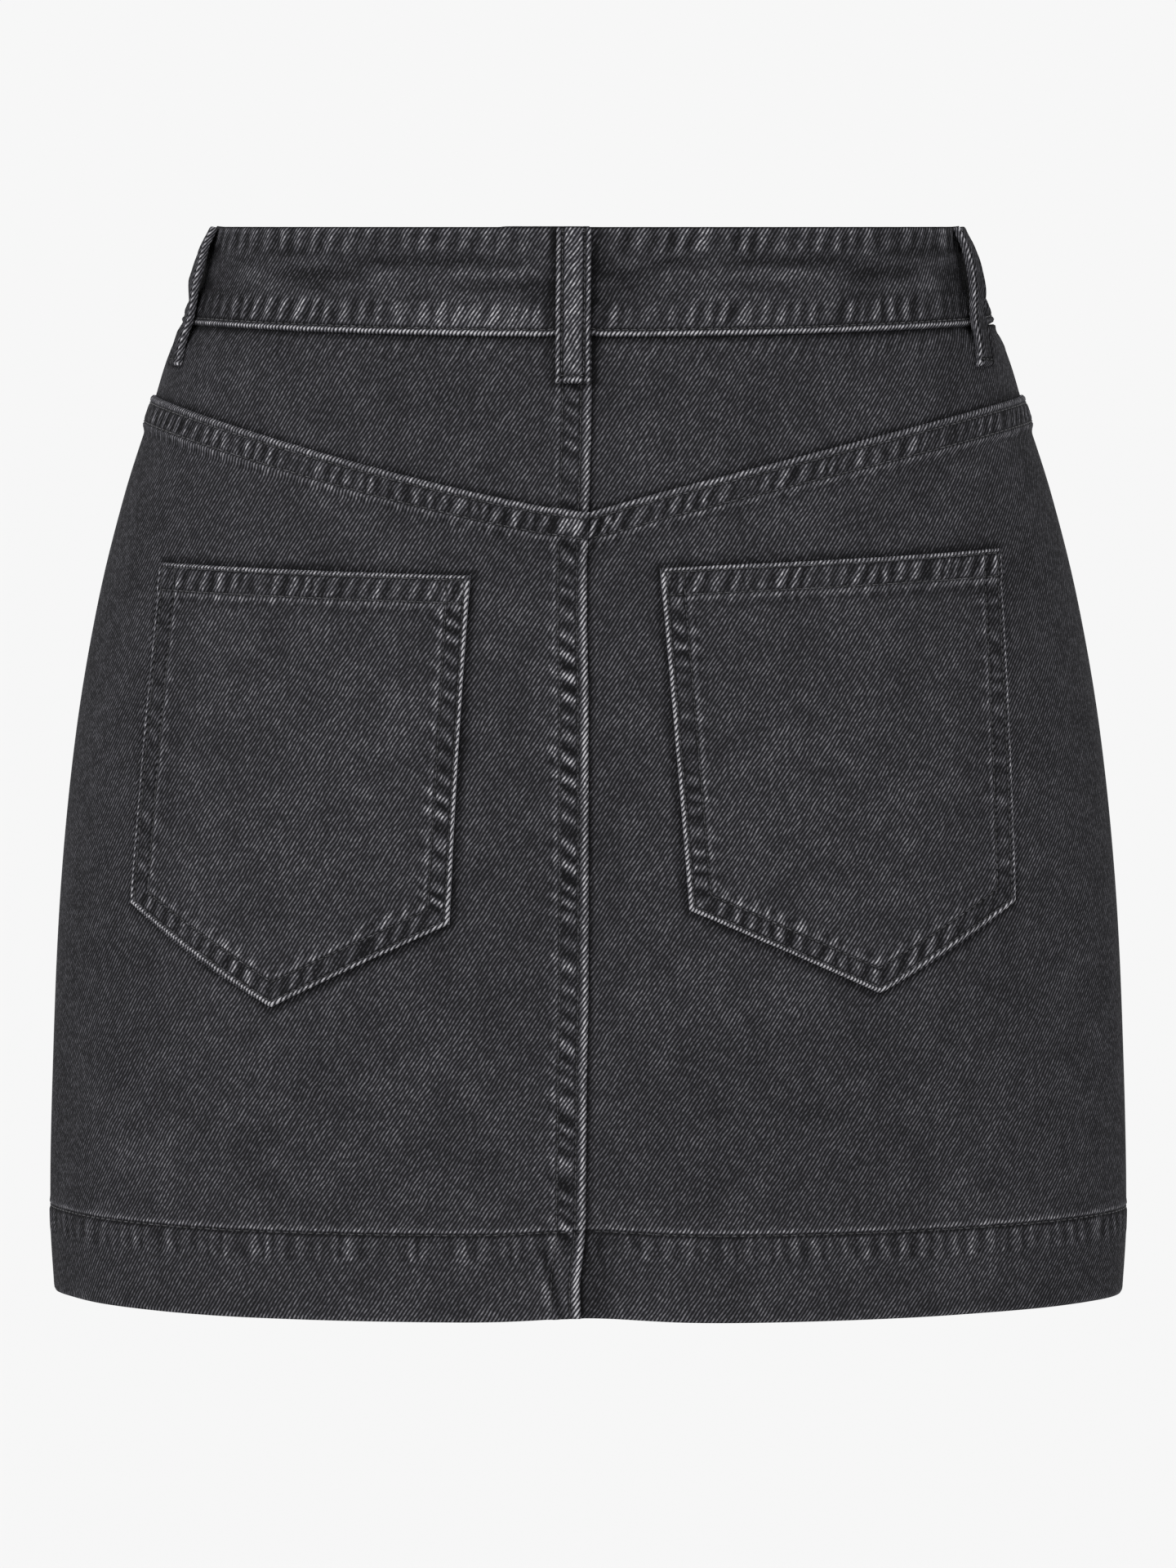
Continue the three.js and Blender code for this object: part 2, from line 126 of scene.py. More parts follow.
# Main creases, shared by every layer: turn and height at each end, width, how far out
CREASES = [
    (0.03, -236, 0.13, -330, 15, -0.9),
    (0.09, -232, 0.2, -318, 13, 0.5),
    (-0.25, -285, -0.13, -345, 16, -0.6),
    (0.05, -112, 0.2, -140, 6, -0.5),
    (0.09, -108, 0.24, -133, 5, 0.4),
    (0.6, -46, 0.66, -72, 6, -0.5),
    (0.68, -45, 0.74, -74, 5, 0.45),
    (-0.62, -262, -0.86, -330, 16, -0.7),
    (0.66, -262, 0.84, -340, 18, -0.8),
    (-0.5, -47, -0.35, -70, 8, -0.4),
    (-1.62, -52, -1.3, -100, 11, -0.9),
    (-1.55, -70, -1.25, -128, 10, 0.6),
    (1.62, -52, 1.32, -106, 11, -0.9),
    (1.5, -60, 1.24, -118, 10, 0.6),
    (-1.9, -160, -1.6, -235, 17, -1.0),
    (1.9, -158, 1.58, -240, 16, -0.9),
    (-1.3, -230, -1.55, -330, 20, -0.9),
    (1.28, -220, 1.5, -335, 20, 0.8),
]
TURN_WIDTH = 225  # about how far one turn goes round the skirt

# Pocket corners, across and down: top inner, top outer, bottom outer, tip, bottom inner
POCKETS = {
    "left": [(42.7, 127.5), (156.2, 124.3), (168, 249.7), (115.9, 285.9), (50.4, 254.4)],
    "right": [(26.1, 124.6), (150.5, 119), (156.7, 248.3), (106.5, 280.6), (36.9, 249.2)],
}

# A loop's inner face: how far down, and how far off the skin
LOOP_OVER_SEAM = [
    (0, 1.8), (5, 2), (11, 3.4), (19, 4.6), (29, 4.8),
    (37, 4.2), (41.5, 3.4), (46, 2), (49, 1.8), (57, 1.8),
]
LOOP_PLAIN = [
    (0, 1.8), (3.5, 2.1), (9, 3.7), (16, 4.6), (24, 4.4),
    (32, 3.2), (40.5, 2), (44, 0.6), (47, 0.3), (51.2, 0.3),
]
# The turns of a loop's top and end, and its path
LOOPS = [
    ("loop_back", -0.024, -0.022, LOOP_OVER_SEAM),
    ("loop_side_left", -0.965, -0.84, LOOP_PLAIN),
    ("loop_side_right", 0.925, 0.76, LOOP_PLAIN),
    ("loop_front_left", -1.5, -1.5, LOOP_PLAIN),
    ("loop_front_right", 1.5, 1.5, LOOP_PLAIN),
]

# How far the centre back seam's folded edge wanders to the right, at heights from the hem up
FOLD_WANDER = [
    (-401, -2.9), (-394, -3.4), (-386, -3.6), (-378, -2.6), (-368, -1.5), (-340, -1.2), (-305, -0.9),
    (-280, -0.3), (-170, -0.3), (-148, -0.9), (-122, -0.9), (-98, 0), (-80, 0.5), (-60, 0.8), (-40, 0.8),
]

# Topstitching: distances in from a folded edge
YOKE_ROWS = 2.7, 9.7
LAP_ROWS = 3.9, 10.6
POCKET_ROWS = 2, 8.2
POCKET_HEM_ROWS = 1.7, 10
BAND_ROW = 2.3
LOOP_ROW = 2.3
FRONT_BAND_ROW = 3
HEM_ROW = 32
FLY_ROW = 1  # in from the hidden edge below
FLY_TWIN = 6.4  # from that row to the one beside it
FLY_TWIN_END = 146  # below the waist
TOP_DIP = 0.7  # of the waistband's rounded top
LOOP_NUDGE = 0.002  # a small turn, which a loop's width is measured with
LOOP_START, LOOP_END = 1.5, 1.1  # down from the waist, and past the path's last point
STITCH = 3.1
THREAD = 0.52
TWILL_ANGLE = math.radians(57)
TWILL_PITCH = 1.25
TWIST_PITCH = 0.55

# The crease that leans over the hem, left of the centre back: a place on it, and its lean
CREASE_AT = -17.5, -377
CREASE_LEAN = 0.27

# How worn plain cloth is, where 0 is unworn and 1 is white; the same scale carries painted shade as values
# below this
PLAIN_WEAR = 0.4
# Painted shade on the sides, where the cloth turns away
SIDE_SHADE = -0.115
SIDE_PLACE = 0.975  # in turns, where the outline from behind runs down the right side


def lerp(a, b, t):
    return a + (b - a) * t


def smooth(t):
    t = np.clip(t, 0, 1)
    return t * t * (3 - 2 * t)


def bell(x, middle, width):
    return np.exp(-(((x - middle) / width) ** 2))


def bells(x, *rows):
    """A sum of bells over x, each with its height, middle and width."""
    return sum(height * bell(x, middle, width) for height, middle, width in rows)


def between(x, low, high, soft):
    """1 between low and high, and 0 outside them, with soft ends."""
    return smooth((x - low) / soft + 0.5) * smooth((high - x) / soft + 0.5)


LATTICE_SIZE = 256
LATTICE = np.random.RandomState(11).rand(LATTICE_SIZE, LATTICE_SIZE)


def noise(u, v, seed=0):
    """Smooth noise from 0 to 1 over a unit lattice."""
    u, v = np.broadcast_arrays(np.asarray(u, float), np.asarray(v, float))
    i, j = np.floor(u).astype(int), np.floor(v).astype(int)
    s, t = smooth(u - i), smooth(v - j)
    i, j = i + 37 * seed, j + 91 * seed

    def row(up):
        at, after = (LATTICE[k % LATTICE_SIZE, (j + up) % LATTICE_SIZE] for k in (i, i + 1))
        return lerp(at, after, s)

    return lerp(row(0), row(1), t)


HEIGHTS = SECTIONS[:, 0]
SLOPES = np.empty_like(SECTIONS)
SLOPES[1:-1] = (SECTIONS[2:] - SECTIONS[:-2]) / (HEIGHTS[2:] - HEIGHTS[:-2])[:, None]
SLOPES[0] = (SECTIONS[1] - SECTIONS[0]) / (HEIGHTS[1] - HEIGHTS[0])
SLOPES[-1] = (SECTIONS[-1] - SECTIONS[-2]) / (HEIGHTS[-1] - HEIGHTS[-2])


def size_at(z, kind):
    i = np.clip(np.searchsorted(-HEIGHTS, -np.asarray(z, float)) - 1, 0, len(HEIGHTS) - 2)
    height = HEIGHTS[i + 1] - HEIGHTS[i]
    t = np.clip((z - HEIGHTS[i]) / height, 0, 1)
    bend = SLOPES[i, kind] * t * (1 - t) ** 2 - SLOPES[i + 1, kind] * t * t * (1 - t)
    return lerp(SECTIONS[i, kind], SECTIONS[i + 1, kind], smooth(t)) + height * bend


def depth_at(turn, z):
    return np.where(np.abs(turn) < 1, size_at(z, BACK), size_at(z, FRONT))


def turns_apart(turn, other):
    """From one turn to another the short way round, where 2 and -2 are the same place."""
    return (turn - other + 2) % 4 - 2


def soft_form(turn, z):
    """How far the folds and creases push the cloth out."""
    out = np.zeros(np.broadcast(turn, z).shape)
    for middle, top, width, high in FOLDS:
        out += high * smooth((top - z) / (top + LENGTH)) * bell(turns_apart(turn, middle), 0, width)
    for turn_a, z_a, turn_b, z_b, width, high in CREASES:
        run = np.array([(turn_b - turn_a) * TURN_WIDTH, z_b - z_a])
        at = np.stack([turns_apart(turn, turn_a) * TURN_WIDTH + 0 * z, z - z_a + 0 * turn], -1)
        along = (at @ run) / (run @ run)
        off = np.linalg.norm(at - np.clip(along, 0, 1)[..., None] * run, axis=-1)
        uneven = 0.55 + 0.9 * noise(along * 3.1, turn_a * 5.3 + width, 3)
        out += high * uneven * bell(off, 0, width)
    return out


def skin(turn, z, out):
    """Points a distance out from the cloth's outer face, in millimetres."""
    turn, z = np.broadcast_arrays(np.asarray(turn, float), np.asarray(z, float))
    half, depth = size_at(z, HALF), depth_at(turn, z)
    across = np.sin(turn * QUARTER)
    deep = (1 - np.minimum(np.abs(across), 1) ** ROUNDNESS) ** (1 / ROUNDNESS)
    to_face = np.where(np.abs(turn) < 1, -1.0, 1.0)
    flare = (size_at(z + 1, HALF) - size_at(z - 1, HALF)) / 2
    swell = (depth_at(turn, z + 1) - depth_at(turn, z - 1)) / 2
    normal = np.stack([
        np.sign(across) * np.abs(across) ** (ROUNDNESS - 1) / half,
        to_face * deep ** (ROUNDNESS - 1) / depth,
        -(np.abs(across) ** ROUNDNESS) * flare / half - deep ** ROUNDNESS * swell / depth,
    ], -1)
    normal /= np.linalg.norm(normal, axis=-1, keepdims=True)
    point = np.stack([across * half, to_face * deep * depth, z], -1)
    return point + normal * (out + soft_form(turn, z))[..., None]


def across_at(turn, z):
    """The distance from the middle plane."""
    return np.sin(turn * QUARTER) * size_at(z, HALF)


def turn_across(x, z, face, side):
    turn = np.arcsin(np.clip(x / size_at(z, HALF), -1, 1)) / QUARTER
    return turn if face == "back" else 2 * side - turn


def band_edge(turn):
    return -lerp(BAND_SIDE, BAND_CENTRE, np.cos(turn * QUARTER) ** 2)


def yoke_seam(turn):
    across = np.sin(turn * QUARTER)
    power = np.where(across < 0, YOKE_CURVE_LEFT, YOKE_CURVE_RIGHT)
    return -lerp(YOKE_POINT, YOKE_SIDE, np.abs(across) ** power)


def hem_edge(turn):
    share = np.sin(turn * QUARTER)
    pull = HEM_PULL * bell(share * size_at(np.float64(-LENGTH), HALF), 0, HEM_PULL_WIDTH)
    return -LENGTH + HEM_RISE * share ** 4 + pull


def lap_width(z, face):
    if face == "back":
        return LAP_BACK + 0 * z
    return lerp(LAP_FLY, LAP_BACK, smooth((-z - FLY_END + FLY_CURVE) / FLY_CURVE))


def fold_edge(z):
    """Where the left piece's folded edge lies at the centre back."""
    heights, shifts = zip(*FOLD_WANDER)
    return LAP_EDGE + sum(np.interp(z + k, heights, shifts) for k in (-3, 0, 3)) / 3


# The distance round the skirt from the centre back, tabled over turns and heights
GIRTH_DEEP = 404
GIRTH_TURNS = np.linspace(-2, 2, 641)
GIRTH_HEIGHTS = np.linspace(0, -GIRTH_DEEP, 102)
MESH_TURNS, MESH_HEIGHTS = np.meshgrid(GIRTH_TURNS, GIRTH_HEIGHTS)
GAPS = np.linalg.norm(np.diff(skin(MESH_TURNS, MESH_HEIGHTS, 0), axis=1), axis=-1)
GIRTHS = np.concatenate([np.zeros((len(GIRTH_HEIGHTS), 1)), np.cumsum(GAPS, axis=1)], axis=1)
GIRTHS -= GIRTHS[:, [len(GIRTH_TURNS) // 2]]


def girth(turn, z):
    turn, z = np.broadcast_arrays(np.asarray(turn, float), np.asarray(z, float))
    s = np.clip((turn + 2) / 4 * (len(GIRTH_TURNS) - 1), 0, len(GIRTH_TURNS) - 1.001)
    t = np.clip(-z / GIRTH_DEEP * (len(GIRTH_HEIGHTS) - 1), 0, len(GIRTH_HEIGHTS) - 1.001)
    i, j = s.astype(int), t.astype(int)
    upper, lower = (lerp(GIRTHS[k, i], GIRTHS[k, i + 1], s - i) for k in (j, j + 1))
    return lerp(upper, lower, t - j)


def turn_at(round_it, z):
    """The turn at a distance round the skirt."""
    turn = round_it / TURN_WIDTH
    for _ in range(12):
        turn = turn - (girth(turn, z) - round_it) / TURN_WIDTH
    return turn


def puckers(u, v, lean, pitch, seed):
    """Uneven bumps beside stitches, from about -1.2 to 1.2. They lean lean degrees from level."""
    angle = math.radians(lean)
    across = (u * math.sin(angle) - v * math.cos(angle)) / pitch
    along = (u * math.cos(angle) + v * math.sin(angle)) / pitch
    phase = across + 0.9 * noise(across / 1.7, along / 5, seed) + 0.18 * noise(across * 2, along, seed)
    strength = 0.2 + 1.1 * noise(across / 1.1, along / 6, seed + 1)
    return np.cos(2 * math.pi * phase) * strength


def tinted(wave, crest, trough):
    """Wear on puckers' crests, and darkness in their troughs that is partly painted shade, by one share on
    the crests and another in the troughs.
    """
    return np.where(wave > 0, crest, trough) * wave


def topstitch(d, wave, rows, ridge, pucker, crest_at=0.45, crest_wide=0.34, past_wear=0.2):
    """Relief, and wear with painted shade in the stitch grooves, across a seam with two rows of stitches, d
    in from its folded edge.
    """
    first, second = rows
    crest = ridge * bell(d, first * crest_at, first * crest_wide)
    zone = between(d, first + 0.8, second - 0.7, 0.9)
    past = between(d, second + 0.8, second + 4, 2.4)
    relief = 0.36 * crest + pucker * wave * (0.36 * zone + 0.15 * past)
    relief += bells(d, (-0.4, 0, 0.4), (-0.4, first, 0.5), (-0.36, second, 0.5), (0.15, second + 1.4, 0.9))
    wear_and_shade = 0.6 * crest + pucker * (zone * (tinted(wave, 0.5, 0.3) - 0.05) + 0.16 * past * wave)
    # Painted shade darkens both stitch grooves; the lighter ridge past the second row is wear
    wear_and_shade += bells(d, (-0.26, first + 0.1, 0.5), (-0.22, second, 0.5), (past_wear, second + 1.3, 0.9))
    return relief, wear_and_shade


def centre_seam(x, u, z):
    """The lapped seam at the centre back, softly puckered and worn in places."""
    on_yoke = smooth((z + YOKE_POINT) / 4)
    worn = 0.62 + 0.8 * noise(z / 21, 0.3, 4) + 0.2 * smooth((z + 380) / -8)
    soft = (0.6 + 0.9 * noise(z / 26, 0.7, 6)) * (1 - 0.4 * on_yoke) * smooth((z + 376) / 8)
    return topstitch(fold_edge(z) - x, puckers(u, z, -30, 6.5, 9), LAP_ROWS, worn * (1 - 0.35 * on_yoke),
                     soft, crest_at=0.35, crest_wide=0.26, past_wear=0.16)


def mottle(u, v, seed):
    """Uneven fading over the cloth."""
    fade = 0.5 * noise(u / 9, v / 9, seed) + 0.3 * noise(u / 24, v / 31, seed + 1)
    return 0.16 * (fade + 0.35 * noise(u / 4, v / 4, seed + 2) - 0.575)


def make_mesh(name, points, quads, values, material, sharp=55):
    mesh = bpy.data.meshes.new(name)
    mesh.vertices.add(len(points))
    mesh.vertices.foreach_set("co", (points * MM).astype(np.float32).ravel())
    mesh.loops.add(quads.size)
    mesh.loops.foreach_set("vertex_index", quads.astype(np.int32).ravel())
    mesh.polygons.add(len(quads))
    mesh.polygons.foreach_set("loop_start", np.arange(0, quads.size, 4, dtype=np.int32))
    mesh.update(calc_edges=True)
    mesh.validate()
    mesh.polygons.foreach_set("use_smooth", np.ones(len(mesh.polygons), bool))
    mesh.set_sharp_from_angle(angle=math.radians(sharp))
    for key, array in values.items():
        kind, field = ("FLOAT_VECTOR", "vector") if array.ndim == 2 else ("FLOAT", "value")
        attribute = mesh.attributes.new(key, kind, "POINT")
        attribute.data.foreach_set(field, np.ascontiguousarray(array, np.float32).ravel())
    mesh.materials.append(material)
    made = bpy.data.objects.new(name, mesh)
    bpy.context.scene.collection.objects.link(made)
    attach(made, "root")
    return made


def shell(node, turn, z, outer, inner, wear_and_shade, inside, cloths):
    """A closed cloth shell over a grid of places, from an inner to an outer distance off the skin.

    cloths holds the twill's place on the outer and the inner face, and inside how much of the inner
    face is the cloth's plain back.
    """
    rows, columns = turn.shape
    points = np.concatenate([skin(turn, z, out).reshape(-1, 3) for out in (outer, inner)])
    number = np.arange(rows * columns).reshape(rows, columns)
    back = number + rows * columns
    a, b, c, d = number[:-1, :-1], number[:-1, 1:], number[1:, 1:], number[1:, :-1]
    e, f, g, h = back[:-1, :-1], back[:-1, 1:], back[1:, 1:], back[1:, :-1]
    quads = np.concatenate([np.stack(q, -1).reshape(-1, 4) for q in (
        (a, b, c, d),
        (e, h, g, f),
        (number[0, :-1], back[0, :-1], back[0, 1:], number[0, 1:]),
        (number[-1, :-1], number[-1, 1:], back[-1, 1:], back[-1, :-1]),
        (number[:-1, 0], number[1:, 0], back[1:, 0], back[:-1, 0]),
        (number[:-1, -1], back[:-1, -1], back[1:, -1], number[1:, -1]),
    )])
    corners = points[quads]
    volume = np.einsum("ij,ij->i", corners[:, 0], np.cross(corners[:, 1], corners[:, 2])).sum()
    if volume < 0:
        quads = quads[:, ::-1]
    values = {
        "cloth": np.concatenate([cloth.reshape(-1, 3) for cloth in cloths]),
        # The outer face carries worn highlights and painted shade; the inner face is plain cloth
        "wear_and_shade": np.concatenate([wear_and_shade.ravel(), PLAIN_WEAR + 0 * wear_and_shade.ravel()]),
        "inside": np.concatenate([0 * inside.ravel(), inside.ravel()]),
    }
    made = make_mesh(f"{node}_cloth", points, quads, values, DENIM)
    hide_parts(node)
    return made


def lap_at(x, z, face, side):
    """1 where a piece lies in its lap, and 0 outside it."""
    if side < 0:
        return smooth((x - LAP_EDGE + lap_width(z, face) + SLOPE) / SLOPE)
    return smooth((LAP_EDGE + LAP_CLEAR + SLOPE - x) / SLOPE)


def columns_of(face, fine, coarse):
    """Places across a piece: 0 to 1 over its lap, to 2 down the slope beside it, to 3 at the side."""
    count = round((LAP_FLY if face == "front" else LAP_BACK) / fine)
    return np.concatenate([np.arange(count) / count, 1 + np.arange(4) / 4, np.linspace(2, 3, coarse + 1)])


def column_turn(side, face, place, z):
    width = lap_width(z, face)
    if side < 0:
        first, second = fold_edge(z) if face == "back" else LAP_EDGE, LAP_EDGE - width
    else:
        first, second = LAP_EDGE - width + LAP_SHORT, LAP_EDGE + LAP_CLEAR
    x = lerp(first, second, np.minimum(place, 1)) + side * SLOPE * np.clip(place - 1, 0, 1)
    seam = side * (SIDE_SEAM + (SEAM_TURN if face == "front" else 0))
    return lerp(turn_across(x, z, face, side), seam, np.clip(place - 2, 0, 1))


def settled(turn_of, edges, counts):
    """A grid of turns and heights between edges, with a count of rows from each to the next."""
    parts = []
    for upper, lower, count in zip(edges, edges[1:], counts):
        share = np.linspace(0, 1, count + 1)[1 if parts else 0:, None]
        z = -200 + 0 * share
        for _ in range(6):
            turn = turn_of(z)
            z = lerp(upper(turn), lower(turn), share)
        parts.append((turn, z))
    return [np.concatenate(kind) for kind in zip(*parts)]


def piece_grid(side, face, fine, coarse, edges, counts):
    place = columns_of(face, fine, coarse)
    return settled(lambda z: column_turn(side, face, place, z), edges, counts)


def shifted(edge, rise):
    """An edge moved up, as a function of turn."""
    return lambda turn: edge(turn) + rise


def added(*parts):
    """The sum of pairs of relief and wear."""
    return tuple(sum(kind) for kind in zip(*parts))


# Each piece's finished outer face: a function of turn and height, for the stitches on it
SURFACES = {}


def cloth_piece(node, grid, level, detail, inner, inside):
    """A piece over a grid, from functions of turn and height.

    level is its outer face without relief and inner its inner face, both off the skin. detail gives
    relief, and wear with painted shade, and inside how much of the inner face is the cloth's plain back.
    """
    turn, z = grid
    relief, wear_and_shade = detail(turn, z)
    u = girth(turn, z)
    # Painted shade darkens the sides, where the cloth turns away
    wear_and_shade = PLAIN_WEAR + wear_and_shade + mottle(u, z, 7) + SIDE_SHADE * bell(np.abs(turn), 1, 0.3)
    cloth = np.stack([u, z * 1.03, 0 * z], -1)
    SURFACES[node] = lambda t, h: level(t, h) + detail(t, h)[0]
    outer = level(turn, z) + relief
    return shell(node, turn, z, outer, inner(turn, z), wear_and_shade, inside(turn, z), (cloth, cloth))


def all_inside(turn, z):
    return 1 + 0 * z


def none_inside(turn, z):
    return 0 * z


def hem_top(turn):
    return hem_edge(turn) + HEM_DEPTH


def above_hem(turn, z):
    return 1 - smooth((hem_top(turn) - z) / 1.5)


def panel_inner(level, face, side):
    """A panel's inner face, where the hem turned up inside makes a second layer."""
    def inner(turn, z):
        turned_up = (1 - lap_at(across_at(turn, z), z, face, side)) * smooth((hem_top(turn) - z) / HEM_STEP)
        return level(turn, z) - CLOTH * (1 + turned_up)
    return inner


def clear_of(x, edge, side):
    """0 on a right piece where the left one lies over it, and 1 elsewhere."""
    return 1 if side < 0 else smooth((x - edge) / 1.2)


def band_shadow(u, z, under, seed, dark):
    """The puckers and the dark hollow just under the waistband."""
    wave = puckers(u, z, 62, 4.4, seed) * between(under, 0.5, 9, 3)
    return 0.14 * wave, 0.1 * wave + bells(under, dark)


def hem_detail(turn, z, seed):
    up = z - hem_edge(turn)
    wave = puckers(girth(turn, z), z, 94, 6.8, seed)
    zone = between(up, 22.3, HEM_ROW - 0.8, 2.2) * (1 - 0.75 * bell(across_at(turn, z), 3, 13))
    relief = 0.3 * wave * zone + 0.15 * between(up, 0.8, HEM_ROW - 0.5, 1.5)
    relief += bells(up, (0.26, HEM_ROW + 1.5, 0.9), (-0.38, HEM_ROW, 0.5), (-0.4, 0, 0.6))
    wear_and_shade = zone * tinted(wave, 0.24, 0.17)
    # Lighter worn ridges past the row and at the folded edge, and painted shade in the stitch groove
    wear_and_shade += bells(up, (0.3, HEM_ROW + 1.4, 0.8), (-0.42, HEM_ROW - 0.1, 0.7), (0.12, 0.6, 0.8))
    return relief, wear_and_shade


def side_detail(turn, z, seed):
    """The plain seam at the side: a furrow with small puckers, darkened in the furrow by painted shade."""
    off = np.abs(girth(turn, z) - girth(np.sign(turn) * SIDE_SEAM, z))
    wave = puckers(girth(turn, z), z, 30, 6, seed) * between(off, 0.6, 6, 2)
    return 0.12 * wave - 0.45 * bell(off, 0, 0.8), 0.1 * wave - 0.12 * bell(off, 0, 0.9)


def hem_crease(x, z):
    """The crease that leans over the hem: a ridge and a furrow beside it."""
    off = x - CREASE_AT[0] + (z - CREASE_AT[1]) * CREASE_LEAN
    over_hem = between(z, -400, -375, 5)
    # Lighter on the crease's ridge, painted shade in its furrow, and a lighter strip nearer the seam
    wear_and_shade = bells(off, (0.3, -0.6, 0.8), (-0.26, 1.9, 1.5)) + 0.1 * between(x, -11, -4, 2)
    return over_hem * bells(off, (0.7, -0.6, 1.3), (-0.5, 1.8, 1.5)), over_hem * wear_and_shade


def pocket_corners(word):
    """A pocket's corners, as turns and heights."""
    side = -1 if word == "left" else 1
    return [(float(turn_across(side * across, -down, "back", side)), -down)
            for across, down in POCKETS[word]]


def pocket_lines(word):
    """A pocket's top, outer, lower outer, lower inner and inner edges, laid flat.

    Each is a corner on it, the way in from it and how long that vector is.
    """
    flat = np.array([(float(girth(turn, z)), z) for turn, z in pocket_corners(word)])
    lines = []
    for a, b in zip(flat, np.roll(flat, -1, axis=0)):
        inward = np.array([b[1] - a[1], a[0] - b[0]])
        inward *= np.sign((flat.mean(axis=0) - a) @ inward)
        lines.append((a, inward, np.linalg.norm(inward)))
    return lines


def pocket_edges(word, turn, z):
    """Distances in from a pocket's edges, in the order of its lines."""
    u = girth(turn, z)
    return [((u - a[0]) * inward[0] + (z - a[1]) * inward[1]) / long
            for a, inward, long in pocket_lines(word)]


def back_panel(side):
    word = WORDS[side]

    def level(turn, z):
        lap = lap_at(across_at(turn, z), z, "back", side)
        on_yoke = STEP * (1 + (2 if side < 0 else 1) * lap)
        return lerp(on_yoke, STEP * lap * (side < 0), smooth((yoke_seam(turn) - z - YOKE_LAP) / SLOPE))

    def detail(turn, z):
        x, u = across_at(turn, z), girth(turn, z)
        down = yoke_seam(turn) - z
        below = smooth((down - YOKE_ROWS[1] + 1) / 2.5)
        worn = (0.55 + 0.4 * noise(u / 17, 0.4, 8)) * (1 - 0.3 * smooth(np.abs(u) / 150))
        strong = 0.8 + 0.5 * bell(u, -8, 60)
        parts = [topstitch(down, puckers(u, z, 72, 5.3, 5), YOKE_ROWS, worn, strong),
                 hem_detail(turn, z, 21), side_detail(turn, z, 33)]
        if side < 0:
            parts += [[below * part for part in centre_seam(x, u, z)], hem_crease(x, z),
                      (0, 0.55 * bell(x, -5, 4.2) * bell(down, 5.5, 3.4))]
        else:
            # The painted shadow of the folded edge, and a darker patch beside it at the hem
            parts.append((0, -0.24 * bell(x, fold_edge(z), 1.4) * below
                          - 0.12 * between(x, -4, 8, 5) * between(z, -399, -368, 9)))
        relief, wear_and_shade = added(*parts)
        outside = np.min(pocket_edges(word, turn, z), axis=0)
        # Painted shadow round the pocket's edges
        wear_and_shade = wear_and_shade - 0.12 * between(outside, -2.6, 3, 1.6) - 0.14 * bell(outside, -0.5, 0.9)
        uncovered = 1 - smooth(outside + 0.5)
        return relief * clear_of(x, fold_edge(z), side) * uncovered, wear_and_shade

    edges = yoke_seam, shifted(yoke_seam, -16), shifted(hem_top, 4), hem_edge
    grid = piece_grid(side, "back", 0.75, 146, edges, (18, 148, 40))
    inner = panel_inner(level, "back", side)
    return cloth_piece(f"back_panel_{word}", grid, level, detail, inner, above_hem)


def yoke(side):
    def level(turn, z):
        return STEP * (side < 0) * lap_at(across_at(turn, z), z, "back", side)

    def detail(turn, z):
        x, u = across_at(turn, z), girth(turn, z)
        above, under = z - yoke_seam(turn), band_edge(turn) - z
        # Painted shadow on the yoke just above the panel's folded edge, and painted shade beside the loop
        parts = [side_detail(turn, z, 33), band_shadow(u, z, under, 14, (-0.28, 0.2, 1.5)),
                 (0, -0.27 * bell(above, 0, 1.6) - loop_shade(u, z))]
        if side < 0:
            parts.append(centre_seam(x, u, z))
        else:
            bulge = 0.8 * bell(turn, SIDE_PLACE, 0.05) * bell(z, -41, 4)
            bulge += 1.6 * bell(turn, SIDE_PLACE, 0.06) * bell(under, 1.1, 1.6)
            # Painted shadow along the left piece's folded edge
            parts.append((bulge, -0.24 * bell(x, fold_edge(z), 1.4)))
        relief, wear_and_shade = added(*parts)
        open_cloth = smooth((above - 0.4) / 1.5) * smooth((under + 0.2) / 1.2)
        return relief * open_cloth * clear_of(x, fold_edge(z), side), wear_and_shade

    edges = shifted(band_edge, BAND_LAP), band_edge, yoke_seam, shifted(yoke_seam, LAP_SHORT - YOKE_LAP)
    grid = piece_grid(side, "back", 0.75, 130, edges, (3, 36, 3))
    return cloth_piece(f"yoke_{WORDS[side]}", grid, level, detail,
                       lambda t, h: level(t, h) - CLOTH, all_inside)


def fly_detail(edge, u, z):
    """The centre front, at distances from its folded edge: the fly's two rows, and one below them."""
    row = lap_width(z, "front") - FLY_ROW
    beside = between(edge, row - 5.8, row - 0.6, 0.9) + 0.6 * between(edge, 4.4, 8, 1.5)
    wave = puckers(u, z, 33, 5.6, 10) * beside
    relief = bells(edge, (0.34, 1.8, 1.4), (-0.35, 0, 0.4), (-0.4, row, 0.5)) + 0.28 * wave
    relief -= 0.36 * bell(edge, row - FLY_TWIN, 0.5) * smooth((z + FLY_TWIN_END) / 3)
    relief -= 0.38 * bell(edge, LAP_ROWS[0], 0.5) * smooth((-z - FLY_END) / 3)
    # Lighter worn ridges, and painted shade in the stitch groove
    return relief, bells(edge, (0.5, 1.8, 1.4), (-0.22, row, 0.5), (0.12, row + 1.4, 0.9)) + 0.34 * wave


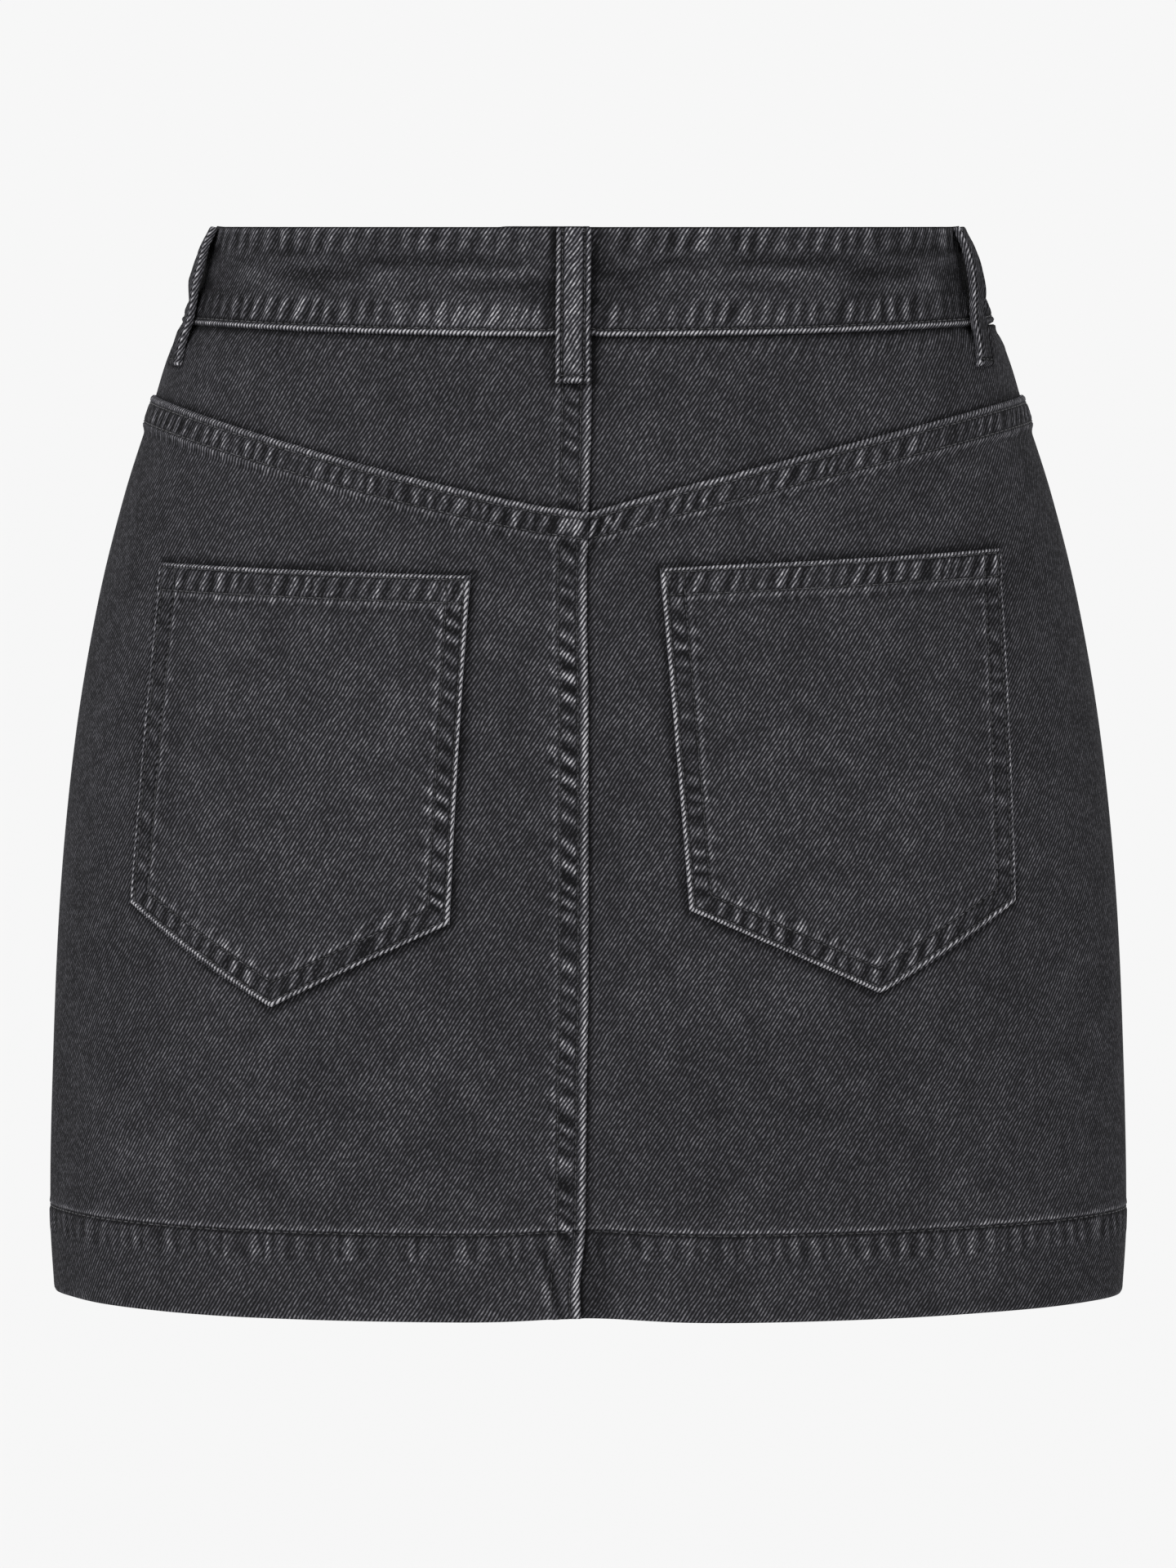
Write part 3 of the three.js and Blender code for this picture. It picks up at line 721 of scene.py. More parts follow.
def front_panel(side):
    def level(turn, z):
        lap = (side < 0) * lap_at(across_at(turn, z), z, "front", side)
        return STEP * lap * lerp(2, 1, smooth((band_edge(turn) - LAP_CLEAR - z) / SLOPE))

    def detail(turn, z):
        x, u = across_at(turn, z), girth(turn, z)
        under = band_edge(turn) - z
        # On the right piece, painted shadow along the edge that the left one laps over
        relief, wear_and_shade = added(
            hem_detail(turn, z, 22), side_detail(turn, z, 34), band_shadow(u, z, under, 15, (-0.2, 0, 1.5)),
            fly_detail(LAP_EDGE - x, u, z) if side < 0 else (0, -0.2 * bell(x, LAP_EDGE, 1.2)))
        return relief * smooth((under + 0.2) / 1.2) * clear_of(x, LAP_EDGE, side), wear_and_shade

    edges = shifted(band_edge, BAND_LAP), shifted(band_edge, -12), shifted(hem_top, 4), hem_edge
    grid = piece_grid(side, "front", 1.2, 104, edges, (16, 140, 32))
    inner = panel_inner(level, "front", side)
    return cloth_piece(f"front_panel_{WORDS[side]}", grid, level, detail, inner, above_hem)


def band_detail(turn, z, seed):
    up, down = z - band_edge(turn), -z
    u = girth(turn, z)
    lower, upper = puckers(u, z, 80, 6.6, seed), puckers(u, z, 76, 7.4, seed + 2)
    low, high, middle = between(up, 3.4, 11.5, 3), between(down, 1.2, 10, 3.5), between(up, 11, 29, 5)
    creased = noise(u / 15, z / 4.5, seed + 5) - 0.5
    relief = 0.4 * lower * low + 0.34 * upper * high + 0.3 * creased * middle
    relief += bells(up, (0.36, 0.85, 0.8), (-0.4, 0, 0.3), (-0.46, BAND_ROW, 0.45))
    relief -= 0.45 * bell(down, TOP_DIP, 0.7)
    wear_and_shade = low * tinted(lower, 0.32, 0.22) + high * tinted(upper, 0.24, 0.18)
    # A lighter worn rope at the lower edge, painted shade in the stitch groove, and darker along the dip at
    # the top
    wear_and_shade += bells(up, (0.72, 0.8, 0.58), (-0.42, BAND_ROW + 0.1, 0.55)) + middle * (0.4 * creased - 0.05)
    wear_and_shade += bells(down, (-0.32, TOP_DIP, 0.7), (0.16, TOP_DIP + 1.4, 0.7))
    return relief, wear_and_shade


def loop_shade(u, z):
    """Painted shade beside and below the loop at the back."""
    _, top, end, path = LOOPS[0]
    long = path[-1][0]
    aside = np.abs(u - girth(lerp(top, end, np.clip(-z / long, 0, 1)), z)) - LOOP_WIDTH / 2
    return 0.3 * bell(np.maximum(aside, 0), 0, 2.6) * smooth((long + z + 4) / 4)


# The waistband is thin up to a step above its lower edge, where the cloth it covers ends
band_step = shifted(band_edge, BAND_LAP + GAP)
BAND_EDGES = (lambda turn: 0 * turn - TOP_DIP), shifted(band_step, BAND_STEP), band_step, band_edge
BAND_COUNTS = 30, 1, 11


def doubled(turn, z):
    """0 where the waistband is thin, and 1 above its step."""
    return np.clip((z - band_step(turn)) / BAND_STEP, 0, 1)


def back_band():
    def lap_of(turn, z):
        x = across_at(turn, z)
        return lap_at(x, z, "back", -1) * lap_at(x, z, "back", 1)

    def level(turn, z):
        return STEP * (1 + lap_of(turn, z) * smooth((band_step(turn) + 3.5 - z) / 3.2))

    def inner(turn, z):
        return lerp(STEP * (1 + lap_of(turn, z)) - CLOTH, STEP - BAND_THICK, doubled(turn, z))

    def detail(turn, z):
        relief, wear_and_shade = band_detail(turn, z, 41)
        u, up = girth(turn, z), z - band_edge(turn)
        worn = bells(u, (0.2, -40, 26), (0.08, 58, 42)) - 0.12 * smooth((np.abs(u) - 120) / 40)
        wear_and_shade += worn * smooth((18 - up) / 12) - loop_shade(u, z)
        # Painted shade on the lower edge under the side loops
        wear_and_shade -= 0.5 * bell(np.abs(turn), 0.96, 0.08) * bell(up, 0.8, 0.58)
        # The band stands out a little under the side loops
        bulge = bells(turn, (1, -0.99, 0.06), (1, SIDE_PLACE, 0.06))
        return relief + bulge * bells(z, (2.1, -10, 14), (1.5, -32, 7)), wear_and_shade

    count, middle = 170, 22
    left, right = LAP_EDGE - LAP_BACK - SLOPE, LAP_EDGE + LAP_CLEAR + SLOPE
    shares = np.linspace(1, 0, count, endpoint=False)

    def turn_of(z):
        z = np.broadcast_to(z, (z.shape[0], 2 * count + middle))
        a, b, c = z[:, :count], z[:, count:-count], z[:, -count:]
        return np.concatenate([
            lerp(turn_across(left, a, "back", -1), -SIDE_SEAM, shares),
            turn_across(np.linspace(left, right, middle), b, "back", 1),
            lerp(turn_across(right, c, "back", 1), SIDE_SEAM, 1 - shares + 1 / count),
        ], axis=-1)

    grid = settled(turn_of, BAND_EDGES, BAND_COUNTS)
    return cloth_piece("waistband_back", grid, level, detail, inner, none_inside)


def front_band(side):
    def level(turn, z):
        return STEP * (1 + 2 * (side < 0) * lap_at(across_at(turn, z), z, "front", side))

    def detail(turn, z):
        relief, wear_and_shade = band_detail(turn, z, 47)
        edge = LAP_EDGE - across_at(turn, z)
        if side < 0:
            relief += bells(edge, (0.3, 1.1, 0.8), (-0.4, 0, 0.45), (-0.4, FRONT_BAND_ROW, 0.5))
            return relief, wear_and_shade + 0.4 * bell(edge, 1.1, 0.9)
        # On the right piece, painted shadow where the left one laps over
        return relief * clear_of(-edge, 0, side), wear_and_shade - 0.2 * bell(edge, 0, 1.2)

    def inner(turn, z):
        return level(turn, z) - lerp(CLOTH, BAND_THICK, doubled(turn, z))

    grid = piece_grid(side, "front", 1.0, 150, BAND_EDGES, BAND_COUNTS)
    return cloth_piece(f"waistband_front_{WORDS[side]}", grid, level, detail, inner, none_inside)


def pocket(side):
    word = WORDS[side]
    top_inner, top_outer, bottom_outer, tip, bottom_inner = (np.array(c) for c in pocket_corners(word))
    tip_share = (tip[0] - bottom_inner[0]) / (bottom_outer[0] - bottom_inner[0])
    even = np.linspace(0, 1, 129)
    share = (even - 0.6 * np.sin(2 * math.pi * even) / (2 * math.pi))[:, None]
    end = np.where(share < tip_share, lerp(bottom_inner, tip, share / tip_share),
                   lerp(tip, bottom_outer, (share - tip_share) / (1 - tip_share)))
    down = np.unique([*np.linspace(0, 13, 15), *np.linspace(13, 138, 88), *np.linspace(138, 150, 20)])
    grid = lerp(lerp(top_inner, top_outer, share)[None], end[None], down[:, None, None] / 150)
    seed, lean, strong = (50, -30, 1.5) if side < 0 else (60, -12, 1.25)

    def level(turn, z):
        top = pocket_edges(word, turn, z)[0]
        return POCKET_LIFT + lerp(POCKET_HEM_THICK, CLOTH, smooth((top - POCKET_HEM) / POCKET_HEM_STEP))

    def detail(turn, z):
        u = girth(turn, z)
        top, *sides = pocket_edges(word, turn, z)
        near, which = np.min(sides, axis=0), np.argmin(sides, axis=0)
        outer, low_inner, inner = which == 0, which == 2, which == 3
        upright = outer | inner
        wave = np.where(upright, puckers(u, z, lean, 6.6, seed), puckers(u, z, 74, 6.2, seed + 2))
        wave = wave * (0.5 + 1.0 * noise(u / 19, z / 19, seed + 7))
        worn = (0.8 + 0.6 * noise(u / 13, z / 13, seed + 9)) * np.where(inner, strong, 1)
        in_corner = (1 - smooth((top - 9) / 4)) * upright
        relief, wear_and_shade = topstitch(
            near, wave * (1 - 0.85 * in_corner), POCKET_ROWS, worn, np.where(outer, 0.45, 0.68),
            np.where(outer, 0.2, 0.42), np.where(outer, 0.2, 0.36))
        past_row = np.where(low_inner, 0.3 * strong - 0.19, 0.12) * np.maximum(wave, 0)
        wear_and_shade = wear_and_shade + between(near, 9, 13, 2.4) * past_row
        # The top hem's wear, with painted shade in its stitch grooves
        top_relief, top_wear_and_shade = topstitch(top, puckers(u, z, 74, 5.6, seed + 4), POCKET_HEM_ROWS, 0.95, 0.8)
        under_hem, off_sides = smooth((top - 1.2) / 2), smooth((near - 0.6) / 2)
        relief = relief * under_hem + top_relief * off_sides
        relief += 0.22 * between(near, 0.8, POCKET_ROWS[1] - 0.4, 1.2)
        wear_and_shade = wear_and_shade * under_hem + top_wear_and_shade * off_sides - 0.035
        # Lighter towards the middle, and a painted shadow line under the hem's step
        wear_and_shade += 0.05 * smooth((near - 9) / 12) - 0.07 * bell(top, 14, 1.3) * smooth((near - 5) / 5)
        wear_and_shade += 0.1 * between(top, 1.8, 9.6, 1) * between(near, 1.6, 5.4, 1) * upright
        wear_and_shade += 0.22 * (1 - smooth(np.sort(sides, axis=0)[1] / 9)) * (1 - smooth(near / 6))
        return relief, wear_and_shade

    return cloth_piece(f"pocket_{word}", (grid[..., 0], grid[..., 1]), level, detail,
                       lambda t, h: POCKET_LIFT + 0 * h, all_inside)


def on_side(end):
    return 0.5 < abs(end) < 1


def far_at(share, end):
    """From 0 at a loop's edge that is nearer the centre back to 1 at the other."""
    return np.clip(0.5 + share * np.sign(end), 0, 1)


def loop_frame(top, end, path):
    """Its length, and its face's distance off the skin, its thickness and its turn at a place.

    A place is a distance down and a share across, from -0.5 to 0.5. The side loops are pressed thin
    towards the edge that is turned away.
    """
    down_points, off_points = zip(*path)
    long = down_points[-1]

    def off(down, share):
        plain = sum(np.interp(down + k, down_points, off_points) for k in (-1.5, -0.75, 0, 0.75, 1.5)) / 5
        if abs(end) < 0.5:
            return plain + 0 * share
        if end > 0:
            return plain + 0.8 * bell(down, 14, 16) + 0 * share
        far = far_at(share, end)
        low = far * smooth((down - 22) / 9)
        return plain + 1.1 * bell(down, 7, 9) * (1 - 0.5 * far) - low * np.maximum(plain - 1.75, 0)

    def thick(down, share):
        return LOOP_THICK - on_side(end) * (0.5 + 1.2 * far_at(share, end) * smooth((down - 26) / 8))

    def turn(down, share):
        middle = lerp(top, end, down / long)
        ahead = skin(middle + LOOP_NUDGE, -down, 0) - skin(middle, -down, 0)
        return middle + share * LOOP_WIDTH * LOOP_NUDGE / np.linalg.norm(ahead, axis=-1)

    return long, off, thick, turn


def belt_loop(name, top, end, path):
    long, off, thick, turn_of = loop_frame(top, end, path)
    share, down = np.meshgrid(np.linspace(-0.5, 0.5, 29), np.linspace(LOOP_START, long + LOOP_END, 76))
    edge = (0.5 - np.abs(share)) * LOOP_WIDTH
    foot = long + LOOP_END - down
    seed = 70 + len(name)
    wave = puckers(share * LOOP_WIDTH, -down, 50, 4.6, seed)
    puff = between(edge, 3.1, 9, 0.9)
    relief = (0.36 + 0.12 * wave) * puff - 0.35 * bell(down, LOOP_START, 0.5)
    relief += bells(edge, (0.3, 0.9, 0.75), (-0.5, 0, 0.4), (-0.55, LOOP_ROW, 0.5))
    relief += bells(foot, (0.25, 1, 0.7), (-0.5, 0, 0.5), (-0.4, 2.2, 0.5))
    far = far_at(share, end)
    # Lighter worn edges and puff, and painted shade in the stitch grooves
    wear_and_shade = bells(edge, (0.42, 0.9, 0.75), (-0.34, LOOP_ROW, 0.5)) + (0.26 + 0.12 * wave) * puff
    # A worn folded end; on the side loops, painted shade on the face turned away and a painted highlight on
    # the near edge
    wear_and_shade = (wear_and_shade + 0.4 * bell(foot, 0.8, 0.6)) * (1 - 0.85 * on_side(end) * smooth((far - 0.12) / 0.22))
    wear_and_shade += on_side(end) * (0.12 * bell(far, 0.06, 0.12) - 0.14 * smooth((far - 0.15) / 0.3))
    cloth = np.stack([share * LOOP_WIDTH + 40 * seed, -down, 0 * down], -1)
    # Painted shade in the stitch groove across the loop's end
    wear_and_shade += PLAIN_WEAR - 0.03 - 0.3 * bell(foot, 2.3, 0.6) + mottle(cloth[..., 0], cloth[..., 1], 5)
    within = cloth + np.stack([2 * share * LOOP_THICK, 0 * down, 0 * down], -1)
    inner = off(down, share)
    outer = inner + thick(down, share) + relief
    return shell(name, turn_of(down, share), -down, outer, inner, wear_and_shade, 0 * down, (cloth, within))


def along(path):
    """The distance along a path at each of its points."""
    return np.concatenate([[0], np.cumsum(np.linalg.norm(np.diff(path, axis=0), axis=1))])


def resampled(places, long, values):
    return np.stack([np.interp(places, long, column) for column in values.T], -1)


def stitches(name, rows, pitch=STITCH, width=THREAD):
    """Short capsules of thread along rows of (points, outward normals), joined in one piece."""
    all_points, all_quads, all_cloth = [], [], []
    angles = np.arange(6) * math.pi / 3
    stations = np.array([0.0, 0.14, 0.5, 0.86, 1.0])
    radii = np.array([0.3, 0.85, 1, 0.85, 0.3]) * width / 2
    lifts = np.array([-0.16, 0.02, 0.1, 0.02, -0.16])
    total = 0
    for points, normals in rows:
        long = along(points)
        count = int(long[-1] / pitch)
        starts = (np.arange(count) + 0.1) * long[-1] / max(count, 1)
        places = starts[:, None] + stations * pitch * 0.8
        at, up = resampled(places, long, points), resampled(places, long, normals)
        up /= np.linalg.norm(up, axis=-1, keepdims=True)
        aside = np.cross(at[:, -1:] - at[:, :1], up)
        aside /= np.linalg.norm(aside, axis=-1, keepdims=True)
        at = at + up * lifts[:, None]
        ring = np.cos(angles)[:, None] * up[:, :, None, :] + np.sin(angles)[:, None] * aside[:, :, None, :]
        made = at[:, :, None, :] + ring * radii[:, None, None]
        number = total + np.arange(made[..., 0].size).reshape(made.shape[:3])
        after = np.roll(number, -1, axis=2)
        tube = np.stack([number[:, :-1], after[:, :-1], after[:, 1:], number[:, 1:]], -1)
        start, end = number[:, 0, [0, 5, 4, 3, 3, 2, 1, 0]], number[:, -1, [0, 1, 2, 3, 3, 4, 5, 0]]
        all_quads += [quads.reshape(-1, 4) for quads in (tube, start, end)]
        cloth = np.stack(np.broadcast_arrays(places[:, :, None], angles, 0.0), -1)
        all_points.append(made.reshape(-1, 3))
        all_cloth.append(cloth.reshape(-1, 3))
        total += made[..., 0].size
    points, quads, cloth = (np.concatenate(parts) for parts in (all_points, all_quads, all_cloth))
    return make_mesh(name, points, quads, {"cloth": cloth}, THREAD_LOOK, sharp=80)


def raised(turn, z, out):
    """Points off the skin, and the way out from each."""
    points = skin(turn, z, out)
    return points, skin(turn, z, out + 1) - points


def row_on(piece, turn, z, lift=0.1):
    """A row's points and outward normals on the finished surface of a piece."""
    turn, z = np.broadcast_arrays(np.asarray(turn, float), np.asarray(z, float))
    return raised(turn, z, SURFACES[piece](turn, z) + lift)


def turns_for(side, face, start):
    """Turns from a distance off the middle to the side seam."""
    end = SIDE_SEAM + (0.01 if face == "front" else -0.004)
    return np.linspace(float(turn_across(start, -100.0, face, side)), side * end, 900)


def pocket_rows(word):
    normals, offsets = zip(*((inward / long, a @ inward / long) for a, inward, long in pocket_lines(word)))

    def corner(i, j, di, dj):
        return np.linalg.solve([normals[i], normals[j]], [offsets[i] + di, offsets[j] + dj])

    def inset(top, d):
        """A path down the sides and along the bottom, as far in from each, that ends at the top."""
        lower = [corner(i, i + 1, d, d) for i in (1, 2, 3)]
        return [corner(0, 1, top, d), *lower, corner(0, 4, top, d)]

    def row(ends):
        long = along(ends)
        u, v = resampled(np.arange(0, long[-1], 0.5), long, np.array(ends)).T
        return row_on(f"pocket_{word}", turn_at(u, v), v)

    top, hem = POCKET_HEM_ROWS
    first, second = (inset(top, d) for d in POCKET_ROWS)
    across = inset(hem, POCKET_ROWS[0])
    return [row([first[-1], *first]), row(second), row([across[-1], across[0]])]


def loop_rows(name, top, end, path):
    long, off, thick, turn_of = loop_frame(top, end, path)

    def row(down, share, sunk):
        return raised(turn_of(down, share), -down, off(down, share) + thick(down, share) - sunk)

    down, share = np.arange(1.5, long - 1.5, 0.5), np.linspace(-0.38, 0.38, 24)
    aside = 0.5 - LOOP_ROW / LOOP_WIDTH
    rows = [row(down, sign * aside, 0.42) for sign in (-1, 1)]
    return rows + [row(level + 0 * share, share, 0.12) for level in (3, long + LOOP_END - 2.3)]


def seam_rows():
    """The rows on the back, and on the front, as two lists."""
    back, front = [], []
    for side, word in WORDS.items():
        turns = turns_for(side, "back", -1.5 if side < 0 else 1.8)
        heights = [yoke_seam(turns) - d for d in YOKE_ROWS] + [hem_edge(turns) + HEM_ROW]
        back += [row_on(f"back_panel_{word}", turns, z) for z in heights]
        turns = turns_for(side, "front", LAP_EDGE - 1.5 if side < 0 else LAP_EDGE + 1.2)
        front.append(row_on(f"front_panel_{word}", turns, hem_edge(turns) + HEM_ROW))
        front.append(row_on(f"waistband_front_{word}", turns, band_edge(turns) + BAND_ROW))
    turns = np.linspace(-SIDE_SEAM + 0.005, SIDE_SEAM - 0.005, 1800)
    back.append(row_on("waistband_back", turns, band_edge(turns) + BAND_ROW))

    def upright(piece, face, low, high, count, across):
        z = np.linspace(low, high, count)
        return row_on(piece, turn_across(across(z), z, face, -1), z)

    bottom, under_band = -LENGTH + HEM_PULL + 1.5, -BAND_CENTRE - 6
    for d in LAP_ROWS:
        for piece, low, high, count in (
            ("yoke_left", -YOKE_POINT + 0.5, -BAND_CENTRE - 1, 120),
            ("back_panel_left", bottom, -YOKE_POINT - YOKE_ROWS[1] - 1.5, 560),
        ):
            back.append(upright(piece, "back", low, high, count, lambda z: fold_edge(z) - d))
    for piece, low, high, count, across in (
        ("front_panel_left", bottom, under_band, 700, lambda z: FLY_ROW - lap_width(z, "front")),
        ("front_panel_left", -FLY_TWIN_END, under_band, 240,
         lambda z: FLY_ROW + FLY_TWIN - lap_width(z, "front")),
        ("front_panel_left", bottom, -FLY_END, 500, lambda z: -LAP_ROWS[0]),
        ("waistband_front_left", -BAND_CENTRE + 2.5, -2.5, 80, lambda z: -FRONT_BAND_ROW),
    ):
        front.append(upright(piece, "front", low, high, count, lambda z: LAP_EDGE + across(z)))
    return back, front


def buttonhole_rows():
    """Short stitches across the rim of the slot that the button stands in."""
    reach = np.linspace(0.9, 2.9, 8)
    rows = []
    for angle in 2 * math.pi * np.arange(64) / 64:
        x = LAP_EDGE - BUTTON_IN - 4 + math.cos(angle) * (reach + 8.5)
        z = -BUTTON_DOWN + math.sin(angle) * reach
        rows.append(row_on("waistband_front_left", turn_across(x, z, "front", -1), z, 0.12))
    return rows


def button():
    """A shank that flares into a domed disc with a rolled rim and a ring of fine grooves."""
    shank = BUTTON_SHANK / BUTTON_WIDTH
    outline = np.array([
        (0.02, 0), (shank * 0.8, 0), (shank, 0.04), (shank, 0.4), (shank + 0.06, 0.46), (0.7, 0.5),
        (0.9, 0.52), (0.97, 0.58), (1, 0.68), (0.99, 0.76), (0.95, 0.85), (0.9, 0.89), (0.85, 0.88),
        (0.81, 0.84), (0.76, 0.83), (0.72, 0.85), (0.66, 0.89), (0.55, 0.94), (0.4, 0.98), (0.2, 1),
        (0.02, 1),
    ])
    sides = 72
    angles = np.arange(sides) * 2 * math.pi / sides
    radius, height = (outline * (BUTTON_WIDTH / 2, BUTTON_HEIGHT)).T[..., None]
    local = np.stack([radius * np.cos(angles), radius * np.sin(angles), height + 0 * angles], -1)
    turn = float(turn_across(LAP_EDGE - BUTTON_IN, float(-BUTTON_DOWN), "front", -1))
    seat, axis = raised(turn, -BUTTON_DOWN, 3 * STEP + GAP)
    turned = Vector((0, 0, 1)).rotation_difference(Vector(axis)).to_matrix()
    points = local.reshape(-1, 3) @ np.array(turned).T + seat
    number = np.arange(len(outline) * sides).reshape(len(outline), sides)
    after = np.roll(number, -1, axis=1)
    quads = np.stack([number[:-1], after[:-1], after[1:], number[1:]], -1).reshape(-1, 4)
    cloth = np.stack(np.broadcast_arrays(radius, angles, height), -1).reshape(-1, 3)
    made = make_mesh("button_domed", points, quads, {"cloth": cloth}, METAL, sharp=50)
    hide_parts("button")


class Graph:
    """A few short words for building a node tree."""

    def __init__(self, name):
        self.material = bpy.data.materials.new(name)
        self.material.use_nodes = True
        self.tree = self.material.node_tree
        self.shader = self.tree.nodes["Principled BSDF"]

    def put(self, socket, value):
        if isinstance(value, bpy.types.NodeSocket):
            self.tree.links.new(value, socket)
        else:
            socket.default_value = value

    def node(self, kind, inputs, output=0, **settings):
        made = self.tree.nodes.new(kind)
        for key, value in settings.items():
            setattr(made, key, value)
        for key, value in inputs.items():
            self.put(made.inputs[key], value)
        return made.outputs[output]

    def math(self, operation, *values, clamp=False):
        inputs = dict(enumerate(values))
        return self.node("ShaderNodeMath", inputs, operation=operation, use_clamp=clamp)

    def shade(self, name, value):
        self.put(self.shader.inputs[name], value)

    def split(self, vector):
        return self.node("ShaderNodeSeparateXYZ", {0: vector}).node.outputs[:2]

    def attribute(self, name, output):
        return self.node("ShaderNodeAttribute", {}, output, attribute_name=name)

    def noise(self, vector, scale, detail=1.0, roughness=0.5):
        inputs = {"Vector": vector, "Scale": scale, "Detail": detail, "Roughness": roughness}
        return self.node("ShaderNodeTexNoise", inputs, "Fac")

    def rescale(self, value, low, high, to_low=0.0, to_high=1.0, smooth_ends=True):
        kind = "SMOOTHSTEP" if smooth_ends else "LINEAR"
        inputs = {"Value": value, "From Min": low, "From Max": high, "To Min": to_low, "To Max": to_high}
        return self.node("ShaderNodeMapRange", inputs, interpolation_type=kind)

    def ramp(self, value, stops):
        made = self.tree.nodes.new("ShaderNodeValToRGB")
        ramp = made.color_ramp
        ramp.elements[0].position, ramp.elements[0].color = stops[0][0], (*stops[0][1], 1)
        ramp.elements[1].position, ramp.elements[1].color = stops[-1][0], (*stops[-1][1], 1)
        for place, colour in stops[1:-1]:
            ramp.elements.new(place).color = (*colour, 1)
        self.put(made.inputs["Fac"], value)
        return made.outputs["Color"]

    def mix(self, share, a, b):
        return self.node("ShaderNodeMix", {0: share, 6: a, 7: b}, 2, data_type="RGBA")

    def bump(self, height, strength, distance):
        inputs = {"Height": height, "Strength": strength, "Distance": distance}
        return self.node("ShaderNodeBump", inputs, "Normal")


def grey(value, tint=1.0):
    """A near-black grey, a little towards blue."""
    return value, value * 0.985, value * lerp(1, 1.1, tint)


def denim_look():
    g = Graph("washed_black_twill")
    cloth = g.attribute("cloth", "Vector")
    # Worn highlights and painted shade, as one value that sets the cloth's tone
    wear_and_shade = g.attribute("wear_and_shade", "Fac")
    inside = g.attribute("inside", "Fac")
    u, v = g.split(cloth)
    sine, cosine = math.sin(TWILL_ANGLE), math.cos(TWILL_ANGLE)
    wobble = g.math("MULTIPLY", g.math("SUBTRACT", g.noise(cloth, 0.11, 2), 0.5), 1.3)
    across = g.math("SUBTRACT", g.math("MULTIPLY", u, sine), g.math("MULTIPLY", v, cosine))
    across = g.math("DIVIDE", g.math("ADD", across, wobble), TWILL_PITCH)
    along = g.math("ADD", g.math("MULTIPLY", u, cosine), g.math("MULTIPLY", v, sine))
    line = g.math("SINE", g.math("MULTIPLY", across, 2 * math.pi))
    line = g.math("POWER", g.math("MULTIPLY_ADD", line, 0.5, 0.5), 1.35)
    rib = g.math("FLOOR", g.math("ADD", across, 0.25))
    dash = g.node("ShaderNodeCombineXYZ", {
        0: g.math("MULTIPLY", rib, 7.31), 1: g.math("DIVIDE", along, 2.1)})
    fleck = g.rescale(g.noise(dash, 1.0, 2, 0.6), 0.38, 0.68)
    lit = g.math("MULTIPLY", line, g.math("MULTIPLY_ADD", fleck, 0.46, 0.5))
    fine = g.math("SUBTRACT", g.noise(cloth, 1.6, 2, 0.7), 0.5)
    gain = g.math("MULTIPLY_ADD", g.math("MAXIMUM", g.math("SUBTRACT", wear_and_shade, 0.38), 0.0), 1.45, 0.42)
    tone = g.math("MULTIPLY", g.math("SUBTRACT", lit, 0.31), gain)
    tone = g.math("ADD", tone, g.math("MULTIPLY", wear_and_shade, 0.53))
    tone = g.math("MULTIPLY_ADD", fine, 0.08, tone)
    outer = g.ramp(tone, [
        (0.0, grey(0.006)), (0.12, grey(0.0125)), (0.22, grey(0.029)), (0.4, grey(0.088)),
        (0.6, grey(0.2, 0.6)), (0.9, grey(0.47, 0.3)),
    ])
    lining = g.ramp(g.math("MULTIPLY_ADD", g.math("SUBTRACT", 1.0, lit), 0.55, fine), [
        (0.0, grey(0.09)), (0.3, grey(0.2)), (0.7, grey(0.38)),
    ])
    g.shade("Base Color", g.mix(inside, outer, lining))
    g.shade("Roughness", g.rescale(lit, 0.0, 1.0, 0.93, 0.78))
    g.shade("Specular IOR Level", 0.06)
    height = g.math("MULTIPLY_ADD", fine, 0.5, lit)
    g.shade("Normal", g.bump(height, 0.45, 0.00016))
    return g.material


def thread_look():
    g = Graph("charcoal_thread")
    cloth = g.attribute("cloth", "Vector")
    along, around = g.split(cloth)
    twist = g.math("ADD", g.math("MULTIPLY", along, 2 * math.pi / TWIST_PITCH), around)
    strand = g.math("MULTIPLY_ADD", g.math("SINE", twist), 0.5, 0.5)
    fade = g.noise(cloth, 0.16, 2)
    tone = g.math("MULTIPLY_ADD", strand, 0.25, g.rescale(fade, 0.35, 0.7, 0.0, 0.75))
    g.shade("Base Color", g.ramp(tone, [
        (0.0, grey(0.012)), (0.5, grey(0.026)), (1.0, grey(0.08)),
    ]))
    g.shade("Roughness", g.rescale(strand, 0.0, 1.0, 0.75, 0.6))
    g.shade("Sheen Weight", 0.1)
    g.shade("Normal", g.bump(strand, 0.5, 0.00008))
    return g.material


def metal_look():
    g = Graph("dark_plated_metal")
    radius, angle = g.split(g.attribute("cloth", "Vector"))
    groove = g.math("MULTIPLY_ADD", g.math("SINE", g.math("MULTIPLY", radius, 19.0)), 0.5, 0.5)
    turned = g.node("ShaderNodeCombineXYZ", {0: g.math("MULTIPLY", radius, 6.0), 1: angle})
    brushed = g.noise(turned, 2.2, 3, 0.6)
    g.shade("Base Color", g.ramp(brushed, [
        (0.25, (0.09, 0.088, 0.09)), (0.55, (0.2, 0.197, 0.2)), (0.8, (0.3, 0.296, 0.3)),
    ]))
    g.shade("Metallic", 1)
    g.shade("Roughness", g.rescale(brushed, 0.2, 0.8, 0.3, 0.48))
    g.shade("Normal", g.bump(groove, 0.25, 0.00006))
    return g.material


